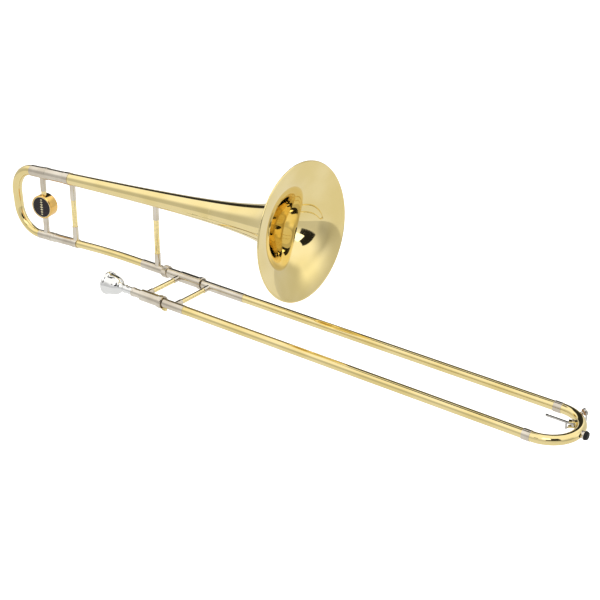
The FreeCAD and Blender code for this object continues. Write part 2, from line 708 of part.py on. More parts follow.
def bell():
    """Flare with its rolled rim, rim wire and stem."""
    wall = d.bell_wall.value
    bead_centre = d.bell_width.value / 2 - BEAD_RADIUS
    middle = Vector(-BEAD_RADIUS, 0, 0)
    along = Vector(1, 0, 0)
    seam = d.bell_seam.value
    flare = turned_face([horn_curve(SHEET_START, seam, 22, 0),
                         backwards(horn_curve(SHEET_START, seam, 22, wall))])
    bead = Part.makeTorus(bead_centre, BEAD_RADIUS, middle, along)
    wire_room = Part.makeTorus(bead_centre, 1.0, middle, along)
    feature("bell_flare", solid_of(flare.fuse(bead).cut(wire_room)), in_bell_frame())
    feature("bell_rim_wire", Part.makeTorus(bead_centre, 0.95, middle, along), in_bell_frame())
    end = d.bell_stem_end.value
    stem = turned_face([horn_curve(seam, end, 16, 0), backwards(horn_curve(seam, end, 16, wall))])
    feature("bell_stem", solid_of(stem), in_bell_frame())


def solid_of(shape):
    return shape.Solids[0] if len(shape.Solids) == 1 else shape


def horn_blank():
    """Filled stem of the horn, used only to cope the brace sockets that stand on it."""
    seam = d.bell_seam.value
    end = d.bell_stem_end.value
    axis_line = Part.LineSegment(Vector(-end, 0, 0), Vector(-seam, 0, 0)).toShape()
    held = doc.addObject("Part::Feature", "horn_blank")
    held.Shape = turned_face([horn_curve(seam, end, 16, 0), axis_line])
    held.Placement = in_bell_frame()
    return held


# ---------------------------------------------------------------- tuning sleeves, neckpipe, braces

def behind(place):
    """Place along the bell axis of a distance behind the mouth."""
    return -place


def tuning_sleeves():
    """Outer sleeves of the tuning slide, with a ring at each end."""
    room = d.bell_stem_end + 0.5
    legs = (("upper", d.upper_leg_width, Size(0, "0"), Size(10.4, "10.4")),
            ("lower", d.lower_leg_width, -d.leg_spacing, d.neckpipe_width / 2 + 0.05))
    for name, width, height, front_room in legs:
        bore = width / 2 + d.leg_gap
        outside = bore + d.sleeve_wall
        ring = outside + 0.6
        lathe(f"{name}_tuning_sleeve", BELL, [
            (behind(d.tuning_sleeve_start), front_room),
            (behind(d.tuning_sleeve_start), ring),
            (behind(d.tuning_sleeve_start + 12.6), ring),
            (behind(d.tuning_sleeve_start + 13.2), outside),
            (behind(d.tuning_sleeve_end - 7.4), outside),
            (behind(d.tuning_sleeve_end - 6.8), ring),
            (behind(d.tuning_sleeve_end), ring),
            (behind(d.tuning_sleeve_end), bore),
            (behind(room), bore),
            (behind(room), front_room)], offset=(0, height, 0))


def neck():
    """Neckpipe from the lower sleeve to the tenon, and the tenon that enters the slide."""
    body = new_body("neckpipe", BELL_SIDE)
    path = new_sketch(body, "XZ_Plane", "path")
    tilt = d.bell_tilt
    start = (d.bell_mouth_x - d.bell_stem_end * of_angle("cos", tilt) + d.leg_spacing * of_angle("sin", tilt),
             d.bell_mouth_z - d.bell_stem_end * of_angle("sin", tilt) - d.leg_spacing * of_angle("cos", tilt))
    corner = start[0] - start[1] / of_angle("tan", tilt)
    bend_start = (corner - d.neckpipe_bend * of_angle("cos", tilt),
                  -d.neckpipe_bend * of_angle("sin", tilt))
    bend_end = (corner + d.neckpipe_bend, Size(0, "0"))
    finish = (d.tenon_start + 12, Size(0, "0"))
    radius = d.neckpipe_bend / of_angle("tan", tilt / 2)
    first = path.addGeometry(Part.LineSegment(flat(start), flat(bend_start)))
    centre = Vector(bend_end[0].value, -radius.value, 0)
    arc = Part.ArcOfCircle(Part.Circle(centre, Vector(0, 0, 1), radius.value), math.pi / 2,
                           math.pi / 2 + math.radians(tilt.value))
    bend = path.addGeometry(arc)
    last = path.addGeometry(Part.LineSegment(flat(bend_end), flat(finish)))
    path.addConstraint(Sketcher.Constraint("Coincident", first, 2, bend, 2))
    path.addConstraint(Sketcher.Constraint("Coincident", bend, 1, last, 1))
    held = path.addConstraint(Sketcher.Constraint("Radius", bend, radius.value))
    bind(path, f"Constraints[{held}]", radius)
    for index, end, point in ((first, 1, start), (first, 2, bend_start), (last, 1, bend_end), (last, 2, finish)):
        for kind, size in (("DistanceX", point[0]), ("DistanceY", point[1])):
            held = path.addConstraint(Sketcher.Constraint(kind, -1, 1, index, end, number(size)))
            bind(path, f"Constraints[{held}]", size)
    section = body.newObject("Sketcher::SketchObject", "neckpipe_section")
    section.AttachmentSupport = [(path, "Edge1")]
    section.MapMode = "NormalToEdge"
    ring_section(section, d.neckpipe_width, d.neckpipe_width - 1.0)
    doc.recompute()
    swept = body.newObject("PartDesign::AdditivePipe", "neckpipe_swept")
    swept.Profile = section
    swept.Spine = path
    pieces.append(body)
    collar = d.bell_receiver_mouth - 0.3
    lathe("neck_tenon", BELL_SIDE, [
        (d.tenon_start, d.neckpipe_width / 2 + 0.02),
        (d.tenon_start, d.tenon_width / 2),
        (collar - 1.0, d.tenon_width / 2),
        (collar - 1.0, d.tenon_width / 2 + 0.5),
        (collar, d.tenon_width / 2 + 0.5),
        (collar, d.tenon_width / 2 - 0.25),
        (-6.0, d.tenon_width / 2 - 0.55),
        (-6.0, d.bore_width / 2),
        (d.tenon_start + 12.5, d.bore_width / 2),
        (d.tenon_start + 12.5, d.neckpipe_width / 2 + 0.02)])


def ring_section(sketch, outer, inner):
    """Two circles round the sketch's origin."""
    for width in (outer, inner):
        index = sketch.addGeometry(Part.Circle(Vector(0, 0, 0), Vector(0, 0, 1), width.value / 2))
        sketch.addConstraint(Sketcher.Constraint("Coincident", index, 3, -1, 1))
        held = sketch.addConstraint(Sketcher.Constraint("Diameter", index, width.value))
        bind(sketch, f"Constraints[{held}]", width)


def lock_nut():
    """Knurled nut that holds the tenon in the receiver."""
    collar = d.bell_receiver_mouth - 1.6
    lathe("bell_lock_nut", BELL_SIDE, [
        (d.nut_start, d.tenon_width / 2 + PIN_GAP),
        (d.nut_start, d.nut_width / 2 - 0.5),
        (d.nut_start + 0.5, d.nut_width / 2),
        (d.nut_end - 0.5, d.nut_width / 2),
        (d.nut_end, d.nut_width / 2 - 0.5),
        (d.nut_end, d.bell_receiver_width / 2 + PIN_GAP),
        (collar, d.bell_receiver_width / 2 + PIN_GAP),
        (collar, d.tenon_width / 2 + PIN_GAP)])


def leg_height(place, leg):
    """Height of a tuning leg's axis above the slide at a place of the row frame."""
    slope = of_angle("tan", d.bell_tilt)
    height = d.bell_mouth_z + (place - d.bell_mouth_x) * slope
    if leg == "lower":
        height = height - d.leg_spacing / of_angle("cos", d.bell_tilt)
    return height


def leg_core(label, place, leg, radius, half_length=40):
    """Rod on a tuning leg's axis, centred on a place of the row frame."""
    tilt = d.bell_tilt
    base = (place - half_length * of_angle("cos", tilt), half_spacing,
            leg_height(place, leg) - half_length * of_angle("sin", tilt))
    return rod(label, radius, 2 * half_length, (base, (0, 1, 0), 90 - tilt))


def upright(label, place, bottom, top, low_socket, high_socket, neighbours):
    """Vertical brace tube with two sockets, coped to the pieces it stands between."""
    inner = d.bell_brace_width / 2 - d.brace_wall
    outer = d.bell_brace_width / 2
    socket = d.bell_socket_width / 2
    lathe(label, BELL_SIDE, [(bottom + 1, inner), (bottom + 1, outer), (top - 1, outer), (top - 1, inner)],
          along="Z", offset=(place, 0, 0))
    rings = [[(bottom - 4, outer), (bottom - 4, socket), (bottom + low_socket, socket), (bottom + low_socket, outer)],
             [(top - high_socket, outer), (top - high_socket, socket), (top + 4, socket), (top + 4, outer)]]
    blank = lathe(f"{label}_socket_blank", BELL_SIDE, rings, along="Z", offset=(place, 0, 0), kept=False)
    cut(f"{label}_sockets", blank, joined("Part::MultiFuse", f"{label}_neighbours", neighbours))


def bell_braces():
    """Brace between the tuning sleeves and brace between bell and tenon."""
    blank = horn_blank()
    place = d.sleeve_brace_place
    upright("sleeve_brace", place,
            leg_height(place, "lower") + d.lower_leg_width / 2 + d.leg_gap + d.sleeve_wall + 0.6,
            leg_height(place, "upper") - d.upper_leg_width / 2 - d.leg_gap - d.sleeve_wall - 0.6,
            23.5, 26.0, [piece("upper_tuning_sleeve"), piece("lower_tuning_sleeve"),
                         leg_core("sleeve_brace_high_core", place, "upper", d.upper_leg_width / 2 + 0.8),
                         leg_core("sleeve_brace_core", place, "lower", d.lower_leg_width / 2 + 0.2)])
    place = d.bell_brace_place
    under_bell = horn_radius((d.bell_mouth_x - place).value / math.cos(math.radians(d.bell_tilt.value)))
    core = rod("bell_brace_core", d.tenon_width / 2 - 0.2, 50, ((place - 25, half_spacing, 0), (0, 1, 0), 90))
    upright("bell_brace", place, d.tenon_width / 2, leg_height(place, "upper") - under_bell,
            20.0, 23.0, [piece("neck_tenon"), core, blank])


# ---------------------------------------------------------------- tuning slide

def tuning_slide():
    """Crook, ferrules, inner legs, brace and counterweight: the part that pulls out to tune."""
    legs = (("upper", d.upper_leg_width, d.crook_upper_width, Size(0, "0"), d.upper_ferrule_wall, Size(0, "0")),
            ("lower", d.lower_leg_width, d.crook_lower_width, d.lower_ferrule_room, d.lower_ferrule_wall,
             -d.leg_spacing))
    for name, leg_width, crook_width, room, wall, height in legs:
        offset = (0, height, 0)
        lathe(f"{name}_inner_leg", BELL,
              tube(behind(d.leg_start), behind(d.crook_joint), leg_width, leg_width - 1.0), offset=offset)
        plain = leg_width / 2 + wall
        collar = plain + 0.45
        lathe(f"{name}_crook_ferrule", BELL, [
            (behind(d.crook_ferrule_start), leg_width / 2),
            (behind(d.crook_ferrule_start), collar),
            (behind(d.crook_ferrule_start + 8.9), collar),
            (behind(d.crook_ferrule_start + 9.2), plain),
            (behind(d.crook_ferrule_end), plain),
            (behind(d.crook_ferrule_end), crook_width / 2 + room),
            (behind(d.crook_joint + 0.2), crook_width / 2 + room),
            (behind(d.crook_joint + 0.2), leg_width / 2)], offset=offset)
    crook()
    place = d.tuning_brace_place
    upright("tuning_brace", place, leg_height(place, "lower") + d.lower_leg_width / 2 + d.lower_ferrule_wall,
            leg_height(place, "upper") - d.upper_leg_width / 2 - 0.75, 28.0, 23.0,
            [piece("upper_crook_ferrule"), piece("lower_crook_ferrule"),
             leg_core("tuning_brace_high_core", place, "upper", d.upper_leg_width / 2),
             leg_core("tuning_brace_low_core", place, "lower", d.lower_leg_width / 2)])
    counterweight()


def crook():
    """Tapered tube round the end: two quarter bends with a short straight between them."""
    bend = d.crook_bend.value
    spacing = d.leg_spacing.value
    back = -d.crook_ferrule_end.value
    inside = -(d.crook_joint.value + 0.4)
    reach = bend / math.sqrt(2)
    upper_mid = Vector(back - reach, 0, -bend + reach)
    lower_mid = Vector(back - reach, 0, -spacing + bend - reach)
    path = Part.Wire([
        Part.LineSegment(Vector(inside, 0, 0), Vector(back, 0, 0)).toShape(),
        Part.Arc(Vector(back, 0, 0), upper_mid, Vector(back - bend, 0, -bend)).toShape(),
        Part.LineSegment(Vector(back - bend, 0, -bend), Vector(back - bend, 0, -spacing + bend)).toShape(),
        Part.Arc(Vector(back - bend, 0, -spacing + bend), lower_mid, Vector(back, 0, -spacing)).toShape(),
        Part.LineSegment(Vector(back, 0, -spacing), Vector(inside, 0, -spacing)).toShape()])
    shells = []
    for thinner in (0.0, 0.5):
        ends = []
        for width, height in ((d.crook_upper_width, 0), (d.crook_lower_width, -spacing)):
            circle = Part.Circle(Vector(inside, 0, height), Vector(1, 0, 0), width.value / 2 - 0.02 - thinner)
            ends.append(Part.Wire(circle.toShape()))
        shells.append(path.makePipeShell(ends, True, False))
    feature("tuning_crook", solid_of(shells[0].cut(shells[1])), in_bell_frame())


def counterweight():
    """Round weight clamped on the tuning brace, with an emblem disc and a set screw."""
    depth = d.counterweight_depth
    frame = ((d.tuning_brace_place, half_spacing, d.counterweight_height), (0, 0, 1), d.counterweight_turn)
    front = -depth / 2
    weight = lathe("counterweight_turned", frame, [
        (front, d.emblem_width / 2 + 0.06), (front, d.counterweight_width / 2 - 0.8),
        (front + 0.8, d.counterweight_width / 2), (depth / 2 - 0.8, d.counterweight_width / 2),
        (depth / 2, d.counterweight_width / 2 - 0.8), (depth / 2, 2.1), (d.bell_brace_width / 2, 2.1),
        (d.bell_brace_width / 2, 0), (front + d.emblem_depth, 0),
        (front + d.emblem_depth, d.emblem_width / 2 + 0.06)], along="Y", kept=False)
    channel = rod("counterweight_channel", d.bell_brace_width / 2 + 0.02, 60,
                  ((d.tuning_brace_place, half_spacing, d.counterweight_height - 30), (0, 0, 1), 0))
    cut("counterweight", weight, channel)
    lathe("counterweight_emblem", frame, [
        (front, 0), (front, d.emblem_width / 2), (front + d.emblem_depth - 0.02, d.emblem_width / 2),
        (front + d.emblem_depth - 0.02, 0)], along="Y")
    lathe("counterweight_screw", frame, [
        (d.bell_brace_width / 2 + 0.4, 0), (d.bell_brace_width / 2 + 0.4, 2.05), (depth / 2 + 0.6, 2.05),
        (depth / 2 + 0.6, 1.2), (depth / 2 - 0.8, 1.2), (depth / 2 - 0.8, 0)], along="Y")


def check_and_write():
    """Stop on any failed object or empty piece, then write one STEP file for each piece."""
    doc.recompute()
    for item in doc.Objects:
        if "Invalid" in item.State or "Error" in item.State:
            raise RuntimeError(f"{item.Label} failed: {item.State}")
    os.makedirs("parts", exist_ok=True)
    for piece in pieces:
        if piece.Shape.isNull() or not piece.Shape.isValid() or not piece.Shape.Solids:
            raise RuntimeError(f"{piece.Label} has no valid solid")
    for piece in pieces:
        piece.Shape.exportStep(f"parts/{piece.Label}.step")
        box = piece.Shape.BoundBox
        print(f"{piece.Label:32s} solids {len(piece.Shape.Solids)}  volume {piece.Shape.Volume:10.1f}"
              f"  x {box.XMin:7.1f} {box.XMax:7.1f}  y {box.YMin:6.1f} {box.YMax:6.1f}"
              f"  z {box.ZMin:6.1f} {box.ZMax:6.1f}")


inner_slide()
mouthpiece()
slide_lock()
outer_slide()
water_key()
bell()
tuning_sleeves()
neck()
lock_nut()
bell_braces()
tuning_slide()
check_and_write()
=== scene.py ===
"""Tenor slide trombone: the look and finish of every piece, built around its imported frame."""

import json
import math

import bmesh
import bpy
from mathutils import Matrix, Vector

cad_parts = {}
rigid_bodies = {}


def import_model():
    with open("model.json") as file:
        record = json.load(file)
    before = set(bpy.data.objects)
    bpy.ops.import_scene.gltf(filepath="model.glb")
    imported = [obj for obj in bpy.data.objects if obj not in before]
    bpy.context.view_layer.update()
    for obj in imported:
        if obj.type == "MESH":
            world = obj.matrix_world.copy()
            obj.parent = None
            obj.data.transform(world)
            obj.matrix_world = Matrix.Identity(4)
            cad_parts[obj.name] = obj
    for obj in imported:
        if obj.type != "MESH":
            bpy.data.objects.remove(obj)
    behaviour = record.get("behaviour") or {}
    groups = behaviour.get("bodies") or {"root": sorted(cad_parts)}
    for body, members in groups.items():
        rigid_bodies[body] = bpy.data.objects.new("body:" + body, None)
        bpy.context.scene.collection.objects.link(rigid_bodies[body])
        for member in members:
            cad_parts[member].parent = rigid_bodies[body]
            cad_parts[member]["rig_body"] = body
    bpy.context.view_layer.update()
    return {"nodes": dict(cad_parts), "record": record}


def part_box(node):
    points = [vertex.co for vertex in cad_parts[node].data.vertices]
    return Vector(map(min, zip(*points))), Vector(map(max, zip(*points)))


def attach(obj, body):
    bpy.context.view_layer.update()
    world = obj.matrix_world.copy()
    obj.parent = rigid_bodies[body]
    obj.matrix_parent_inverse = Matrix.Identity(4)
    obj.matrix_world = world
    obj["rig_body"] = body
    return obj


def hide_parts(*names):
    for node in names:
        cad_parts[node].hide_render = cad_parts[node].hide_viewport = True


bl_info = {
    "name": "Tenor Trombone",
    "version": (1, 0, 0),
    "blender": (4, 5, 0),
    "location": "View3D > Sidebar > Trombone",
    "description": "Builds the visible pieces of a tenor slide trombone and their finishes",
    "category": "Add Mesh",
}

MM = 0.001
MERGE = 0.000004  # mesh points closer than this are one point of an outline
FLOAT = "NodeSocketFloat"
COLOUR = "NodeSocketColor"
VECTOR = "NodeSocketVector"
ALONG_X = Vector((1, 0, 0))
ALONG_Y = Vector((0, 1, 0))
ALONG_Z = Vector((0, 0, 1))

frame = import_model()
record = frame["record"]
mounts = {mount["name"]: mount for mount in record["mounts"]}
slots = {part["node"]: part["material_slot"] for part in record["subparts"]}
boxes = {node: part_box(node) for node in frame["nodes"]}


def middle_of(node):
    """Centre of a node's box."""
    low, high = boxes[node]
    return (low + high) / 2


def width_of(node, axis):
    """Extent of a node along one row axis, 0 to 2."""
    low, high = boxes[node]
    return high[axis] - low[axis]


BELL_SIDE = Vector((0, middle_of("outer_tube_bell_side").y, 0))
MOUTHPIECE_SIDE = Vector((0, middle_of("outer_tube_mouthpiece_side").y, 0))
BELL_MOUTH = Vector(mounts["bell_mouth"]["pos_m"])
BELL_AXIS = Vector(mounts["bell_mouth"]["axis"]).normalized()
BELL_UP = Vector((-BELL_AXIS.z, 0, BELL_AXIS.x))


# ---------------- settings

def length_property(name, description, millimetres):
    """Length whose default is given in millimetres."""
    return bpy.props.FloatProperty(
        name=name, description=description, default=millimetres * MM, unit="LENGTH")


class TromboneSizes(bpy.types.PropertyGroup):
    """Sizes that a user may change."""

    horn_lead: length_property("Horn lead", "How far before the mouth the horn's curve starts", 10.78)
    horn_power: bpy.props.FloatProperty(
        name="Horn power", description="How quickly the bell widens towards its mouth", default=0.6145)
    sheet_start: length_property("Sheet start", "Where the bell's sheet runs into its rim", 0.62)
    bead_radius: length_property("Rim bead", "Radius of the rolled rim of the bell", 1.6)
    sheet_wall: length_property("Sheet wall", "Wall of the bell and of the bent tubes", 0.5)
    brace_wall: length_property("Brace wall", "Wall of the brace tubes", 0.6)
    edge_radius: length_property("Edge radius", "Rounding of turned edges", 0.22)
    knurl_count: bpy.props.IntProperty(
        name="Knurls", description="Ridges round the bell lock nut", default=44, min=12)
    knurl_depth: length_property("Knurl depth", "Depth of the ridges of the nut", 0.35)
    crook_bend: length_property("Crook bend", "Radius of the two bends of the tuning crook", 46.5)
    neck_tangent: length_property("Neckpipe bend", "Tangent length of the neckpipe's slight bend", 45)
    cup_radius: length_property("Cup", "Radius of the mouthpiece's cup", 12.7)
    throat_radius: length_property("Throat", "Radius of the mouthpiece's throat", 3.3)
    emblem_border: length_property("Emblem border", "Width of the pale border of the emblem", 1.0)


def colour_property(name, description, default):
    return bpy.props.FloatVectorProperty(
        name=name, description=description, subtype="COLOR", size=4, min=0, max=1, default=default)


class TromboneColours(bpy.types.PropertyGroup):
    """Colours of the finishes, linear."""

    brass: colour_property("Brass", "Yellow brass under clear lacquer", (0.89, 0.74, 0.37, 1))
    brass_deep: colour_property("Deep brass", "Where the lacquer lies thicker", (0.82, 0.66, 0.28, 1))
    nickel: colour_property("Nickel silver", "Sleeves, ferrules and sockets", (0.76, 0.70, 0.60, 1))
    nickel_deep: colour_property(
        "Dull nickel silver", "Where it has dulled a little", (0.60, 0.53, 0.43, 1))
    silver: colour_property("Silver plate", "The mouthpiece", (0.88, 0.88, 0.87, 1))
    chrome: colour_property("Chrome", "Inner slide tubes", (0.72, 0.74, 0.76, 1))
    weight: colour_property("Weight lacquer", "Deeper gold of the counterweight", (0.93, 0.62, 0.20, 1))
    enamel: colour_property("Enamel", "Face of the counterweight", (0.012, 0.009, 0.011, 1))
    inlay: colour_property("Inlay", "Border and ornament of the emblem", (0.80, 0.72, 0.48, 1))
    cork: colour_property("Cork", "Corks of the barrels and of the water key", (0.42, 0.25, 0.12, 1))
    rubber: colour_property("Rubber", "Bumper at the end of the slide", (0.006, 0.006, 0.006, 1))
    steel: colour_property("Steel", "Lever, spring and screws", (0.60, 0.58, 0.55, 1))


def sizes():
    return bpy.context.scene.trombone_sizes


def colours():
    return bpy.context.scene.trombone_colours


# ---------------- shader groups

def new_group(name, inputs, outputs):
    """Empty shader node group with its sockets, and its two end nodes."""
    group = bpy.data.node_groups.new(name, "ShaderNodeTree")
    for label, kind, default in inputs:
        socket = group.interface.new_socket(label, in_out="INPUT", socket_type=kind)
        if default is not None:
            socket.default_value = default
    for label, kind in outputs:
        group.interface.new_socket(label, in_out="OUTPUT", socket_type=kind)
    return group, group.nodes.new("NodeGroupInput"), group.nodes.new("NodeGroupOutput")


def add_noise(tree, vector, scale, detail, roughness=0.5):
    noise = tree.nodes.new("ShaderNodeTexNoise")
    noise.inputs["Detail"].default_value = detail
    noise.inputs["Roughness"].default_value = roughness
    tree.links.new(vector, noise.inputs["Vector"])
    if isinstance(scale, (int, float)):
        noise.inputs["Scale"].default_value = scale
    else:
        tree.links.new(scale, noise.inputs["Scale"])
    return noise.outputs["Fac"]


def add_range(tree, value, low, high, to_low=0.0, to_high=1.0):
    """Smooth remap of a value; the target ends may be numbers or sockets."""
    node = tree.nodes.new("ShaderNodeMapRange")
    node.interpolation_type = "SMOOTHSTEP"
    node.inputs["From Min"].default_value = low
    node.inputs["From Max"].default_value = high
    for name, end in (("To Min", to_low), ("To Max", to_high)):
        if isinstance(end, (int, float)):
            node.inputs[name].default_value = end
        else:
            tree.links.new(end, node.inputs[name])
    tree.links.new(value, node.inputs["Value"])
    return node.outputs["Result"]


def add_math(tree, operation, first, second):
    node = tree.nodes.new("ShaderNodeMath")
    node.operation = operation
    for place, value in enumerate((first, second)):
        if isinstance(value, (int, float)):
            node.inputs[place].default_value = value
        else:
            tree.links.new(value, node.inputs[place])
    return node.outputs["Value"]


def add_mix(tree, factor, first, second):
    """Mix of two colours, each a socket or a colour."""
    node = tree.nodes.new("ShaderNodeMix")
    node.data_type = "RGBA"
    tree.links.new(factor, node.inputs["Factor"])
    for name, value in (("A", first), ("B", second)):
        socket = [item for item in node.inputs if item.name == name and item.type == "RGBA"][0]
        if isinstance(value, bpy.types.NodeSocket):
            tree.links.new(value, socket)
        else:
            socket.default_value = value
    return [item for item in node.outputs if item.type == "RGBA"][0]


def polish_group():
    """Soft wipe marks and fine hairlines of a polished surface."""
    group, inside, outside = new_group(
        "Polish marks",
        [("Vector", VECTOR, None), ("Scale", FLOAT, 60.0),
         ("Smooth", FLOAT, 0.06), ("Wiped", FLOAT, 0.16)],
        [("Roughness", FLOAT), ("Height", FLOAT)])
    broad = add_noise(group, inside.outputs["Vector"], inside.outputs["Scale"], 3, 0.55)
    fine = add_noise(group, inside.outputs["Vector"], 1400.0, 2, 0.6)
    rough = add_range(group, broad, 0.42, 0.78, inside.outputs["Smooth"], inside.outputs["Wiped"])
    group.links.new(rough, outside.inputs["Roughness"])
    mostly = add_math(group, "MULTIPLY", broad, 0.9)
    height = add_math(group, "ADD", mostly, add_math(group, "MULTIPLY", fine, 0.1))
    group.links.new(height, outside.inputs["Height"])
    return group


def tone_group():
    """Slow change of tone over a surface, as lacquer and plating have."""
    group, inside, outside = new_group(
        "Lacquer tone",
        [("Vector", VECTOR, None), ("Light", COLOUR, None), ("Deep", COLOUR, None),
         ("Scale", FLOAT, 14.0)],
        [("Color", COLOUR)])
    slow = add_noise(group, inside.outputs["Vector"], inside.outputs["Scale"], 2, 0.5)
    mask = add_range(group, slow, 0.35, 0.7)
    mixed = add_mix(group, mask, inside.outputs["Light"], inside.outputs["Deep"])
    group.links.new(mixed, outside.inputs["Color"])
    return group


def grain_group():
    """Flecks and pits of cork and moulded rubber."""
    group, inside, outside = new_group(
        "Grain flecks",
        [("Vector", VECTOR, None), ("Base", COLOUR, None), ("Fleck", COLOUR, None),
         ("Scale", FLOAT, 900.0)],
        [("Color", COLOUR), ("Height", FLOAT)])
    cells = group.nodes.new("ShaderNodeTexVoronoi")
    group.links.new(inside.outputs["Vector"], cells.inputs["Vector"])
    group.links.new(inside.outputs["Scale"], cells.inputs["Scale"])
    specks = add_noise(group, inside.outputs["Vector"], inside.outputs["Scale"], 3, 0.7)
    mask = add_range(group, specks, 0.5, 0.68)
    mixed = add_mix(group, mask, inside.outputs["Base"], inside.outputs["Fleck"])
    group.links.new(mixed, outside.inputs["Color"])
    height = add_math(group, "MULTIPLY", cells.outputs["Distance"], specks)
    group.links.new(height, outside.inputs["Height"])
    return group


def wear_group():
    """Mask of the sharper edges, where a finish is a little rubbed."""
    group, inside, outside = new_group(
        "Edge wear",
        [("Vector", VECTOR, None), ("Base", COLOUR, None), ("Worn", COLOUR, None)],
        [("Color", COLOUR), ("Mask", FLOAT)])
    geometry = group.nodes.new("ShaderNodeNewGeometry")
    edges = add_range(group, geometry.outputs["Pointiness"], 0.53, 0.62)
    broken = add_range(group, add_noise(group, inside.outputs["Vector"], 260.0, 3), 0.4, 0.65)
    mask = add_math(group, "MULTIPLY", edges, broken)
    group.links.new(mask, outside.inputs["Mask"])
    mixed = add_mix(group, mask, inside.outputs["Base"], inside.outputs["Worn"])
    group.links.new(mixed, outside.inputs["Color"])
    return group


GROUP_MAKERS = {"Polish marks": polish_group, "Lacquer tone": tone_group,
                "Grain flecks": grain_group, "Edge wear": wear_group}


def add_group(tree, name, vector, **values):
    """Place a shared group in a material, with the material's own values."""
    node = tree.nodes.new("ShaderNodeGroup")
    node.node_tree = bpy.data.node_groups.get(name) or GROUP_MAKERS[name]()
    tree.links.new(vector, node.inputs["Vector"])
    for label, value in values.items():
        if isinstance(value, bpy.types.NodeSocket):
            tree.links.new(value, node.inputs[label])
        else:
            node.inputs[label].default_value = value
    return node


# ---------------- materials

def new_material(name):
    """Material with its shader and the object coordinates."""
    material = bpy.data.materials.new(name)
    material.use_nodes = True
    tree = material.node_tree
    tree.nodes.clear()
    shader = tree.nodes.new("ShaderNodeBsdfPrincipled")
    output = tree.nodes.new("ShaderNodeOutputMaterial")
    tree.links.new(shader.outputs["BSDF"], output.inputs["Surface"])
    where = tree.nodes.new("ShaderNodeTexCoord")
    return material, tree, shader, where.outputs["Object"]


def add_bump(tree, shader, height, distance):
    bump = tree.nodes.new("ShaderNodeBump")
    bump.inputs["Strength"].default_value = 1.0
    bump.inputs["Distance"].default_value = distance
    tree.links.new(height, bump.inputs["Height"])
    tree.links.new(bump.outputs["Normal"], shader.inputs["Normal"])


WIPE_DEPTH = 0.004 * MM
ENAMEL_DEPTH = 0.02 * MM


def polished_metal(name, light, deep, smooth, wiped, coat=0.0, tone_scale=14.0):
    """Polished metal with a slow change of tone and faint wipe marks."""
    material, tree, shader, where = new_material(name)
    shader.inputs["Metallic"].default_value = 1.0
    shader.inputs["Coat Weight"].default_value = coat
    shader.inputs["Coat Roughness"].default_value = 0.03
    tone = add_group(tree, "Lacquer tone", where, Light=light, Deep=deep, Scale=tone_scale)
    worn = [min(1.0, channel * 1.12) for channel in light[:3]] + [1]
    wear = add_group(tree, "Edge wear", where, Base=tone.outputs["Color"], Worn=worn)
    polish = add_group(tree, "Polish marks", where, Smooth=smooth, Wiped=wiped)
    tree.links.new(wear.outputs["Color"], shader.inputs["Base Color"])
    tree.links.new(polish.outputs["Roughness"], shader.inputs["Roughness"])
    add_bump(tree, shader, polish.outputs["Height"], WIPE_DEPTH)
    return material


def grained(name, base, fleck, scale, roughness, depth):
    """Cork or rubber with flecks and small pits."""
    material, tree, shader, where = new_material(name)
    grain = add_group(tree, "Grain flecks", where, Base=base, Fleck=fleck, Scale=scale)
    tree.links.new(grain.outputs["Color"], shader.inputs["Base Color"])
    low, high = roughness
    rough = add_range(tree, grain.outputs["Height"], 0.0, 0.5, low, high)
    tree.links.new(rough, shader.inputs["Roughness"])
    shader.inputs["Specular IOR Level"].default_value = 0.25
    add_bump(tree, shader, grain.outputs["Height"], depth)
    return material


def enamel():
    """Glossy dark enamel with a faint mottle."""
    material, tree, shader, where = new_material("Black enamel")
    dark = list(colours().enamel)
    warm = [channel * 2.2 for channel in dark[:3]] + [1]
    grain = add_group(tree, "Grain flecks", where, Base=dark, Fleck=warm, Scale=420.0)
    tree.links.new(grain.outputs["Color"], shader.inputs["Base Color"])
    polish = add_group(tree, "Polish marks", where, Smooth=0.12, Wiped=0.3)
    tree.links.new(polish.outputs["Roughness"], shader.inputs["Roughness"])
    shader.inputs["Specular IOR Level"].default_value = 0.25
    add_bump(tree, shader, grain.outputs["Height"], ENAMEL_DEPTH)
    return material


def make_materials():
    """One finish for each material slot of the record, and the emblem's inlay."""
    tint = colours()
    silver_deep = (0.80, 0.80, 0.79, 1)
    chrome_deep = (0.64, 0.66, 0.69, 1)
    weight_deep = (0.86, 0.50, 0.12, 1)
    steel_deep = (0.48, 0.46, 0.43, 1)
    inlay_deep = (0.68, 0.58, 0.34, 1)
    dark_cork = (0.20, 0.10, 0.045, 1)
    pale_rubber = (0.014, 0.014, 0.014, 1)
    return {
        "lacquered_brass": polished_metal(
            "Lacquered brass", tint.brass, tint.brass_deep, 0.05, 0.11, coat=0.2),
        "plain_brass": polished_metal(
            "Plain brass", tint.brass, tint.brass_deep, 0.16, 0.34, tone_scale=60.0),
        "nickel_silver": polished_metal(
            "Nickel silver", tint.nickel, tint.nickel_deep, 0.06, 0.12, tone_scale=24.0),
        "silver_plate": polished_metal("Silver plate", tint.silver, silver_deep, 0.05, 0.09),
        "chromed_tube": polished_metal("Bright chrome", tint.chrome, chrome_deep, 0.03, 0.07),
        "gold_lacquer_weight": polished_metal(
            "Gold lacquer", tint.weight, weight_deep, 0.06, 0.12, coat=0.3),
        "steel": polished_metal(
            "Nickel-plated steel", tint.steel, steel_deep, 0.14, 0.28, tone_scale=90.0),
        "black_enamel": enamel(),
        "inlay": polished_metal("Pale inlay", tint.inlay, inlay_deep, 0.2, 0.34, tone_scale=120.0),
        "cork": grained("Natural cork", tint.cork, dark_cork, 700.0, (0.75, 0.95), 0.00012),
        "black_rubber": grained("Black rubber", tint.rubber, pale_rubber, 1500.0, (0.42, 0.62), 0.00003),
    }


materials = {}


